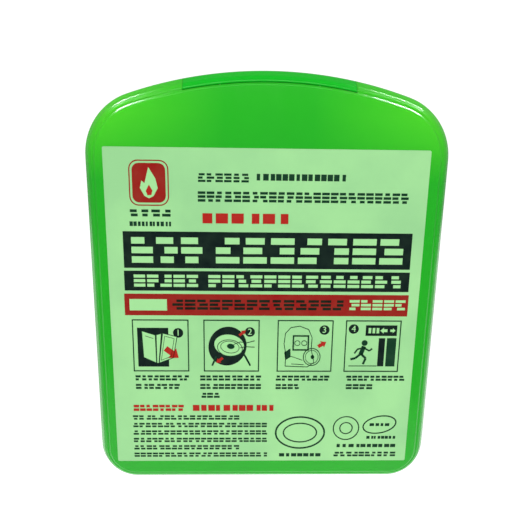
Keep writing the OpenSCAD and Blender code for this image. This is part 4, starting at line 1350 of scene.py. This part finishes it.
def build_collar():
    """The elastic neck seal: a soft ring gathered all the way round."""
    low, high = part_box("neck_seal")
    count, gathers, steps = 220, 46, 20
    outer = rounded_outline((low.x, low.z), (high.x, high.z), 20 * MM, 20 * MM, count)
    hole = rounded_outline((-32 * MM, low.z + 16 * MM), (32 * MM, high.z - 14 * MM), 9 * MM, 9 * MM, count)
    start = min(range(count), key=lambda i: (hole[i] - Vector((outer[0].x * 0.62, hole[0].y))).length)
    hole = hole[start:] + hole[:start]
    middle_y, half = (low.y + high.y) / 2, (high.y - low.y) / 2
    sections = []
    for i in range(count):
        gather = math.sin(2 * math.pi * gathers * i / count)
        section = []
        for step in range(steps):
            a = 2 * math.pi * step / steps
            share = 0.5 + 0.5 * math.cos(a)
            place = hole[i].lerp(outer[i], share)
            lift = 0.66 * math.sin(a) + 0.34 * gather * (1 - 0.6 * share) * math.sin(a) ** 2
            section.append((place.x, middle_y + half * lift, place.y))
        sections.append(section)
    return made("neck_collar", lambda bm: add_rings(bm, transposed(sections), closed_profile=True), 70)


# ---------- Canister and plugs ----------

CAP_WALL, CAP_EDGE_R, CAP_BEAD = 1.2 * MM, 3 * MM, 0.5 * MM


def turned(name, profile, steps, angle, closed=True):
    """A piece revolved about the canister's axis."""
    return made(name, lambda bm: lathe(bm, profile, (0, 0, CAN_Z), steps=steps, closed=closed), angle)


def cap_corner(y, out):
    """(y, radius) points round a cap's rolled edge, out is 1 for the rear and -1 for the front."""
    return [(y - out * CAP_EDGE_R * (1 - s), CAN_R - CAP_EDGE_R * (1 - c)) for s, c in turn(8)]


def cap_bead(y, radius, out):
    """(y, radius) points over a pressed bead, walked towards the axis."""
    return [(y - out * CAP_BEAD * math.sin(math.pi * i / 8), radius - 1.2 * MM * i / 8) for i in range(9)]


def build_front_cap():
    """Pressed front cap: rolled edge, two stepped beads and the inlet collar."""
    y0, y1 = CAN_LOW.y, CAN_HIGH.y
    inlet_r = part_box("front_plug")[1].x - 3 * MM
    collar_y, collar_r = y0 + 6 * MM, inlet_r + 2 * MM
    inner_y, inner_r = y0 + CAP_WALL, CAN_R - CAP_WALL
    profile = [(y1, inner_r), (y1, CAN_R), (y0 + CAP_EDGE_R + CAP_BEAD, CAN_R)] + cap_corner(y0, -1)
    profile += cap_bead(y0, 46.2 * MM, -1) + cap_bead(y0, 23.6 * MM, -1)
    profile += [(y0, inlet_r + 2.4 * MM), (y0, inlet_r + 0.4 * MM), (y0 + 0.4 * MM, inlet_r),
                (collar_y, inlet_r), (collar_y, collar_r), (inner_y, collar_r),
                (inner_y, inner_r - 2 * MM), (inner_y + 2 * MM, inner_r)]
    return turned("front_cap", profile, 160, 40)


def build_rear_cap():
    """Pressed rear cap with its outlet neck."""
    low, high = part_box("canister_rear_cap")
    end_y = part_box("canister_gasket")[0].y - 0.05 * MM
    neck_y = high.y
    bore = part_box("rear_plug")[1].x - 3 * MM
    inner_y, inner_r = end_y - CAP_WALL, CAN_R - CAP_WALL
    profile = [(low.y, CAN_R)] + cap_corner(end_y, 1) + cap_bead(end_y, 46 * MM, 1)
    profile += [(end_y, bore + 3 * MM), (neck_y - 0.5 * MM, bore + 3 * MM), (neck_y, bore + 2.5 * MM),
                (neck_y, bore + 0.4 * MM), (neck_y - 0.4 * MM, bore), (inner_y, bore),
                (inner_y, inner_r - 2 * MM), (inner_y - 2 * MM, inner_r), (low.y, inner_r)]
    return turned("rear_cap", profile, 160, 40)


def build_rim_band():
    """The rolled joint between the two caps."""
    low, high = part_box("canister_rim_band")
    middle, half = (low.y + high.y) / 2, (high.y - low.y) / 2
    inner = CAN_R + 0.02 * MM
    profile = [(low.y, inner)]
    for i in range(17):
        t = -1 + 2 * i / 16
        lift = 0.9 * MM * math.sqrt(max(0.0, 1 - t * t)) + 0.45 * MM * math.exp(-(t * 4) ** 2)
        profile.append((middle + half * t, inner + 0.05 * MM + lift))
    profile.append((high.y, inner))
    return turned("rim_band", profile, 160, 50)


def build_ring(node):
    """A CAD ring on the canister's axis with its edges rounded."""
    low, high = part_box(node)
    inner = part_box("rear_plug")[1].x + 0.06 * MM
    section = section_ring(low.y, high.y, inner, (high.x - low.x) / 2, 0.5 * MM)
    return turned(node + "_ring", section, 120, 50)


def build_plug(node, out):
    """A rubber plug: tapered bung with two sealing ribs, domed head and a ribbed pull tab."""
    low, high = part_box(node)
    bung_d, head_t, edge_r = 5.1 * MM, 2.5 * MM, 0.9 * MM
    tip, top = (high.y, low.y) if out < 0 else (low.y, high.y)
    face = tip + out * bung_d
    head_r = (high.x - low.x) / 2
    bore = head_r - 3 * MM
    bung_r = bore - 0.3 * MM
    axis_r = 0.1 * MM
    profile = [(tip, axis_r), (tip, bore - 1.0 * MM), (tip + out * 0.8 * MM, bung_r)]
    for rib in (1.6, 3.2):
        for i in range(7):
            a = math.pi * i / 6
            along = (rib + 0.5 - 0.5 * math.cos(a)) * MM
            profile.append((tip + out * along, bung_r + 0.25 * MM * math.sin(a)))
    profile += [(face + out * 0.05 * MM, bung_r), (face + out * 0.05 * MM, head_r - 0.4 * MM)]
    for s, c in turn(8):
        profile.append((face + out * (0.4 * MM + (head_t - edge_r) * s), head_r - edge_r * (1 - c)))
    profile += [(face + out * (head_t - 0.2 * MM), head_r * 0.6), (face + out * (head_t - 0.1 * MM), axis_r)]
    bm = bmesh.new()
    lathe(bm, profile, (0, 0, CAN_Z), steps=96, closed=False)
    add_plug_tab(bm, face + out * (head_t - 0.6 * MM), top, head_r * 0.55)
    return new_object(node + "_rubber", bm, 45)


def add_plug_tab(bm, root_y, top_y, half_w):
    """The tab: a lens-shaped plate across the plug, thicker at its root, with grip ribs at its end."""
    rings = []
    steps = 14
    for i in range(steps + 1):
        t = i / steps
        y = root_y + (top_y - root_y) * t
        closing = math.sqrt(max(0.0, 1 - max(0.0, (t - 0.72) / 0.28) ** 2))
        rib = 0.12 * MM * math.sin(6 * math.pi * t)
        wide = half_w * (0.86 + 0.14 * closing)
        thick = (1.5 * MM - 0.35 * MM * t) * max(0.12, closing) + rib * closing
        ring = []
        for k in range(28):
            a = 2 * math.pi * k / 28
            c, s = math.cos(a), math.sin(a)
            x, z = wide * math.copysign(abs(c) ** 0.6, c), thick * math.copysign(abs(s) ** 0.8, s)
            ring.append((x, y, CAN_Z + z))
        rings.append(ring)
    add_rings(bm, rings)


# ---------- Mask ----------

# Circles (x, z, radius) about the canister's axis: their hull is the mask's open face.
FACE_LOBES = [(-20 * MM, -14 * MM, 24 * MM), (20 * MM, -14 * MM, 24 * MM), (0, 28 * MM, 13 * MM)]


def hull_outline(lobes, count=120):
    """Outline of the hull of circles, from its support function."""
    points = []
    for i in range(count):
        t = 2 * math.pi * i / count
        direction = Vector((math.cos(t), math.sin(t)))
        x, z, r = max(lobes, key=lambda lobe: lobe[0] * direction.x + lobe[1] * direction.y + lobe[2])
        points.append((x + r * direction.x, z + r * direction.y))
    return [Vector((p.x, p.y)) for p in resampled(points, count)]


def canister_circle(radius, y, count):
    """A ring of points round the canister's axis."""
    angles = [2 * math.pi * i / count for i in range(count)]
    return [(radius * math.cos(a), y, CAN_Z + radius * math.sin(a)) for a in angles]


def build_mask():
    """The half mask's rubber cup: flange at the neck, swelling cheeks, a rolled lip and a stiffening rib."""
    low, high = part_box("half_mask")
    wall, count, steps = 2.4 * MM, 120, 16
    neck_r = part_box("canister_gasket")[1].x - 5 * MM + 0.1 * MM
    pairs = list(zip(hull_outline([(0, 0, 27 * MM)], count), hull_outline(FACE_LOBES, count)))
    rings = [canister_circle(radius, low.y, count) for radius in (neck_r, neck_r + 3 * MM, 23 * MM)]
    for step in range(steps + 1):
        t = step / steps
        swell = 0.55 * MM * math.sin(math.pi * t)
        share = t if t < 0.86 else 0.86 + 0.14 * smooth(t, 0.86, 1.0)
        y = low.y + (high.y - low.y) * t
        rings.append([mask_point(front, back, share, -0.35 * MM + swell * 0.4, y) for front, back in pairs])
    rings.append([mask_point(front, back, 1.0, -1.2 * MM, high.y) for front, back in pairs])
    for step in range(steps + 1):
        t = 1 - step / steps
        y = low.y + wall + (high.y - 0.4 * MM - low.y - wall) * t
        rings.append([mask_point(front, back, t, -wall, y) for front, back in pairs])
    rings.append(canister_circle(neck_r, low.y + wall, count))
    mask = made("mask_cup", lambda bm: add_rings(bm, rings, closed_profile=True), 50)
    valve_low, valve_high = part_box("exhalation_valve_body")
    valve_r = (valve_high.x - valve_low.x) / 2 + 0.05 * MM
    bore = [(valve_low.z - 12 * MM, valve_r), (valve_high.z + 3 * MM, valve_r)]
    middle = (0, (valve_high.y + valve_low.y) / 2, 0)
    return cut(mask, [lambda bm: lathe(bm, bore, middle, axis="z", closed=False)])


def mask_point(front, back, share, grow, y):
    place = front.lerp(back, share)
    outward = place.normalized() * grow
    return (place.x + outward.x, y, CAN_Z + place.y + outward.y)


def build_face_seal():
    """A soft lip round the mask's open face."""
    low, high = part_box("mask_face_seal")
    half_t = (high.y - low.y) / 2
    rings = []
    for point in hull_outline(FACE_LOBES, 140):
        outward = point.normalized()
        ring = []
        for step in range(14):
            a = 2 * math.pi * step / 14
            place = point + outward * (-2.6 * MM + 3.9 * MM * math.cos(a))
            y = low.y + half_t + half_t * math.sin(a) * (1 - 0.3 * math.cos(a))
            ring.append((place.x, y, CAN_Z + place.y))
        rings.append(ring)
    return made("face_seal", lambda bm: add_rings(bm, transposed(rings), closed_profile=True), 60)


# ---------- Materials of the contents ----------


def granules(name, colour, light, size, depth):
    """A bed of grains, each with its own shade."""
    shader = Shader(name, colour, 0.8)
    cells = shader.voronoi(size)
    shade = shader.voronoi(size, "Color")
    split = shader.node("ShaderNodeSeparateColor")
    shader.link(shade, split.inputs[0])
    shader.colour_by(split.outputs[0], colour, light)
    shader.roughness_by(cells, 0.6, 0.95)
    shader.bump_by(cells, depth, 1.0)
    shader.bump_by(shader.noise(2400, 3), 0.00006, 0.6)
    return shader.material


def pleated_paper():
    """Filter paper: fine pleats across it and a fibrous face; its colour follows the pleats, painted shade in
    the folds and painted light on the crests.
    """
    shader = Shader("filter_paper", linear(236, 234, 226), 0.85)
    pleats = shader.node("ShaderNodeTexWave", bands_direction="X")
    pleats.inputs["Scale"].default_value = 60
    shader.link(shader.coordinates, pleats.inputs["Vector"])
    fibre = shader.noise(1400, 6)
    # Painted shade in the pleats' folds and painted light on their crests.
    shader.colour_by(pleats.outputs["Fac"], linear(214, 211, 200), linear(244, 243, 238))
    shader.roughness_by(fibre, 0.75, 0.95)
    shader.bump_by(pleats.outputs["Fac"], 0.0012, 0.8)
    shader.bump_by(fibre, 0.00005, 0.6)
    return shader.material


def paper_label():
    """A plain gold paper ring with printed hoops, on a coated stock."""
    shader = Shader("canister_paper", linear(214, 186, 84), 0.45)
    place = shader.node("ShaderNodeVectorMath", operation="SUBTRACT")
    shader.link(shader.coordinates, place.inputs[0])
    place.inputs[1].default_value = (0, 0, CAN_Z)
    flat = shader.node("ShaderNodeVectorMath", operation="MULTIPLY")
    shader.link(place.outputs[0], flat.inputs[0])
    flat.inputs[1].default_value = (1, 0, 1)
    length = shader.node("ShaderNodeVectorMath", operation="LENGTH")
    shader.link(flat.outputs[0], length.inputs[0])
    inner, outer = CAN_R - 24 * MM, CAN_R - 7 * MM
    hoop = shader.maths("GREATER_THAN", length.outputs["Value"], outer)
    core = shader.maths("LESS_THAN", length.outputs["Value"], inner)
    stock = shader.blend(shader.noise(300, 4), linear(206, 176, 76), linear(226, 200, 104))
    edge = shader.maths("MAXIMUM", hoop, core)
    shader.colour_by(edge, stock, linear(24, 92, 52))
    shader.roughness_by(shader.noise(260, 3), 0.38, 0.55)
    shader.bump_by(shader.noise(1600, 3), 0.00002, 0.6)
    return shader.material


def retroreflective():
    """Beaded tape: tiny lenses in a honeycomb over bright backing."""
    shader = Shader("reflective_tape", linear(214, 216, 210), 0.3, Metallic=0.5)
    cells = shader.voronoi(420)
    shader.colour_by(cells, linear(184, 188, 184), linear(232, 233, 228))
    shader.roughness_by(cells, 0.2, 0.45)
    shader.bump_by(cells, 0.00012, 0.7)
    return shader.material


def dress(node, material):
    """A procedural material on a CAD node that is shown as it is."""
    obj = frame["nodes"][node]
    wear(obj, material)


def build_contents():
    """Everything inside the case, with its bodies and materials."""
    still = "case_and_pack"
    bag = bag_film()
    base_y = HOOD_LOW.y - 5.2 * MM
    front = build_film("bag_front", 4.9 * MM, base_y, BAG_LOW.y + 0.2 * MM, 1.0)
    finish_piece(front, still, bag, ["bag_front_film"])
    back = build_film("bag_back", 5.1 * MM, BAG_BACK_Y - 0.3 * MM, BAG_BACK_Y - 0.3 * MM, 6.0)
    finish_piece(back, still, bag, ["bag_back_film"])

    cloth = aluminised_cloth()
    hood = finish_piece(build_hood(), still, cloth, ["hood_fabric"])
    flap = finish_piece(build_hood_flap(), still, cloth)

    build_visor(still)
    black_web = woven("webbing", linear(22, 23, 25), linear(52, 53, 56), 1700)
    for side in (-1, 1):
        finish_piece(build_strap(side), still, black_web, ["head_straps"])
    slider = moulded("black_plastic", linear(20, 21, 23))
    for side in ("left", "right"):
        name = "strap_buckle_" + side
        finish_piece(build_buckle(name), "buckle_" + side, slider, [name])
    collar = finish_piece(build_collar(), still,
                          woven("elastic_collar", linear(40, 42, 46), linear(66, 68, 73), 2100), ["neck_seal"])
    dress("reflective_band", retroreflective())

    shell = painted_tin("canister_tin", linear(228, 228, 222))
    bright = bright_metal("bright_band", linear(206, 208, 210), 0.24, (1, 0.05, 1))
    finish_piece(build_front_cap(), still, shell, ["canister_front_cap"])
    finish_piece(build_rear_cap(), still, shell, ["canister_rear_cap"])
    finish_piece(build_rim_band(), still, bright, ["canister_rim_band"])
    dress("canister_label", paper_label())
    black_rubber = rubber("mask_rubber", linear(30, 32, 35), 0.48)
    gasket = rubber("gasket_rubber", linear(22, 22, 23), 0.55)
    finish_piece(build_ring("canister_gasket"), still, gasket, ["canister_gasket"])
    finish_piece(build_ring("hood_clamp_ring"), still, bright, ["hood_clamp_ring"])
    red = rubber("plug_rubber", linear(176, 30, 26), 0.45)
    finish_piece(build_plug("front_plug", -1), "front_plug_body", red, ["front_plug"])
    finish_piece(build_plug("rear_plug", 1), "rear_plug_body", red, ["rear_plug"])
    finish_piece(build_mask(), still, black_rubber, ["half_mask"])
    finish_piece(build_face_seal(), still, rubber("face_seal_rubber", linear(18, 19, 21), 0.4),
                 ["mask_face_seal"])
    dress_inner_parts()


def dress_inner_parts():
    """Procedural materials on the CAD parts inside the canister, the valves and the pins."""
    steel = bright_metal("steel", linear(176, 178, 182), 0.28, (0.05, 1, 1))
    mesh_metal = bright_metal("screen_metal", linear(150, 152, 156), 0.35, (1, 0.2, 1))
    for node in ("hinge_pins", "latch_pin", "bed_spring"):
        dress(node, steel)
    for node in ("front_screen", "retaining_screens"):
        dress(node, mesh_metal)
    dress("particulate_filter", pleated_paper())
    beds = {"desiccant": (linear(120, 168, 206), linear(206, 226, 238), 420, 0.0012),
            "catalyst": (linear(58, 38, 26), linear(112, 80, 56), 520, 0.001),
            "carbon": (linear(14, 14, 15), linear(46, 46, 48), 640, 0.0008)}
    for name, grain in beds.items():
        dress(name + "_bed", granules(name, *grain))
    ivory = moulded("valve_plastic", linear(226, 220, 200))
    flap_rubber = silicone("valve_silicone", linear(232, 222, 196))
    dress("inhalation_valve_seat", ivory)
    dress("inhalation_valve_disc", flap_rubber)
    dress("exhalation_valve_body", moulded("valve_body_plastic", linear(26, 27, 29)))
    dress("exhalation_valve_disc", flap_rubber)
    dress("exhalation_valve_cover", moulded("valve_cover_plastic", linear(38, 39, 42)))


def build_visor(body):
    """The window, its black border and the stitching that holds both to the hood."""
    low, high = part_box("visor_window")
    frame_low, frame_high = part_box("visor_frame")
    border = 5 * MM
    corner_r = 9 * MM

    def window_y(x, z):
        return (low.y + high.y) / 2 + 0.12 * MM * ripple(x, 0, z, 30 * MM, 3.0)

    def border_y(x, z):
        return (frame_low.y + frame_high.y) / 2 + 0.1 * MM * ripple(x, 0, z, 14 * MM, 8.0)

    corners = ((low.x, low.z), (high.x, high.z))
    window = rounded_sheet("visor_pane", *corners, corner_r, window_y, 0.35 * MM)
    finish_piece(window, body, clear_visor(), ["visor_window"])
    edge = rounded_sheet("visor_edge", *corners, corner_r, border_y, 0.4 * MM, hole=border)
    tape = woven("visor_border", linear(24, 25, 27), linear(50, 51, 54), 2200)
    finish_piece(edge, body, tape, ["visor_frame"])
    thread = woven("thread", linear(150, 152, 150), linear(200, 201, 198), 5200)
    for inset in (1.1 * MM, border - 1.1 * MM):
        outline = rounded_outline((low.x + inset, low.z + inset), (high.x - inset, high.z - inset),
                                  corner_r - inset, corner_r - inset, 300)
        seam = stitches("visor_stitches_" + ("out" if inset < border / 2 else "in"),
                        [(p.x, p.y) for p in outline], 1.9 * MM, 0.42 * MM, 0.16 * MM, frame_low.y - 0.02 * MM)
        finish_piece(seam, body, thread)


# ---------- Stage, lights and camera ----------


def build_stage():
    """A pale shelf with a lower floor in front, so that the opened cover hangs free."""
    shader = Shader("pale_floor", (0.6, 0.6, 0.6, 1), 0.8, Emission_Color=(1, 1, 1, 1), Emission_Strength=0.78,
                    Specular_IOR_Level=0.0)
    shader.colour_by(shader.noise(3, 2), (0.58, 0.58, 0.58, 1), (0.62, 0.62, 0.62, 1))
    half_w, front_y, back_y, drop = 0.6, -0.6, 1.4, 0.3
    bm = bmesh.new()
    add_box(bm, (-half_w, SEAM_Y + 4 * MM, -drop), (half_w, back_y, 0.0))
    add_box(bm, (-half_w, front_y, -drop - 20 * MM), (half_w, back_y, -drop - MM))
    floor = new_object("floor", bm)
    floor.data.materials.append(shader.material)


def build_world():
    """White to the eye, softer as a light source."""
    world = bpy.data.worlds.new("studio")
    bpy.context.scene.world = world
    world.use_nodes = True
    tree = world.node_tree
    background = tree.nodes["Background"]
    background.inputs["Color"].default_value = (1, 1, 1, 1)
    path = tree.nodes.new("ShaderNodeLightPath")
    strength = tree.nodes.new("ShaderNodeMapRange")
    strength.inputs["To Min"].default_value = 0.4
    strength.inputs["To Max"].default_value = 1.1
    tree.links.new(path.outputs["Is Camera Ray"], strength.inputs["Value"])
    tree.links.new(strength.outputs["Result"], background.inputs["Strength"])


def area_light(name, place, size, power):
    """A rectangular light that faces the middle of the case."""
    light = bpy.data.lights.new(name, "AREA")
    light.shape = "RECTANGLE"
    light.size, light.size_y = size
    light.energy = power
    obj = linked(name, light)
    obj.location = place
    obj.rotation_euler = (Vector((0, 0, CASE_H / 2)) - Vector(place)).to_track_quat("-Z", "Y").to_euler()
    return obj


def build_lights():
    """Two strips that show only as bars in the gloss, and a soft fill."""
    area_light("left_strip", (-0.73, -0.02, 1.16), (0.05, 0.37), 11).visible_diffuse = False
    area_light("right_strip", (0.76, 0.01, 1.14), (0.05, 0.46), 13).visible_diffuse = False
    area_light("front_fill", (-0.1, -1.4, 1.25), (1.4, 0.9), 22)


def build_camera():
    """In front, a little left of the middle and just under the top of the case, tilted down."""
    camera = bpy.data.cameras.new("camera")
    camera.lens = 41.54
    camera.sensor_width = 36
    camera.clip_start = 0.01
    obj = linked("camera", camera)
    obj.location = (-12 * MM, CAD_BOX[0][1] - 276 * MM, CASE_H - 12.3 * MM)
    obj.rotation_euler = [math.radians(a) for a in (74.965, -0.87, -1.554)]
    bpy.context.scene.camera = obj


# ---------- Build ----------

bpy.context.scene.view_settings.view_transform = "Standard"
build_camera()
build_world()
build_lights()
build_stage()

case_plastic = green_plastic("case_green", CASE_GREEN, CASE_GREEN_SHADE_AND_FLOW, CASE_GREEN_LIT)
clip_plastic = green_plastic("clip_green", CLIP_GREEN_WITH_PAINTED_SHADE, mixed(CLIP_GREEN_WITH_PAINTED_SHADE, CASE_GREEN_SHADE_AND_FLOW, 0.3), CLIP_GREEN_WITH_PAINTED_SHADE)
finish_piece(build_front_cover(), "cover", case_plastic, ["front_cover"])
finish_piece(build_cover_fittings(), "cover", case_plastic)
finish_piece(build_tray(), "case_and_pack", case_plastic, ["case_tray"])
finish_piece(build_tray_fittings(), "case_and_pack", case_plastic)
finish_piece(build_latch_clip(), "latch", clip_plastic, ["latch_clip"])
wear(frame["nodes"]["front_label"], label_film())
build_label_print()

build_contents()
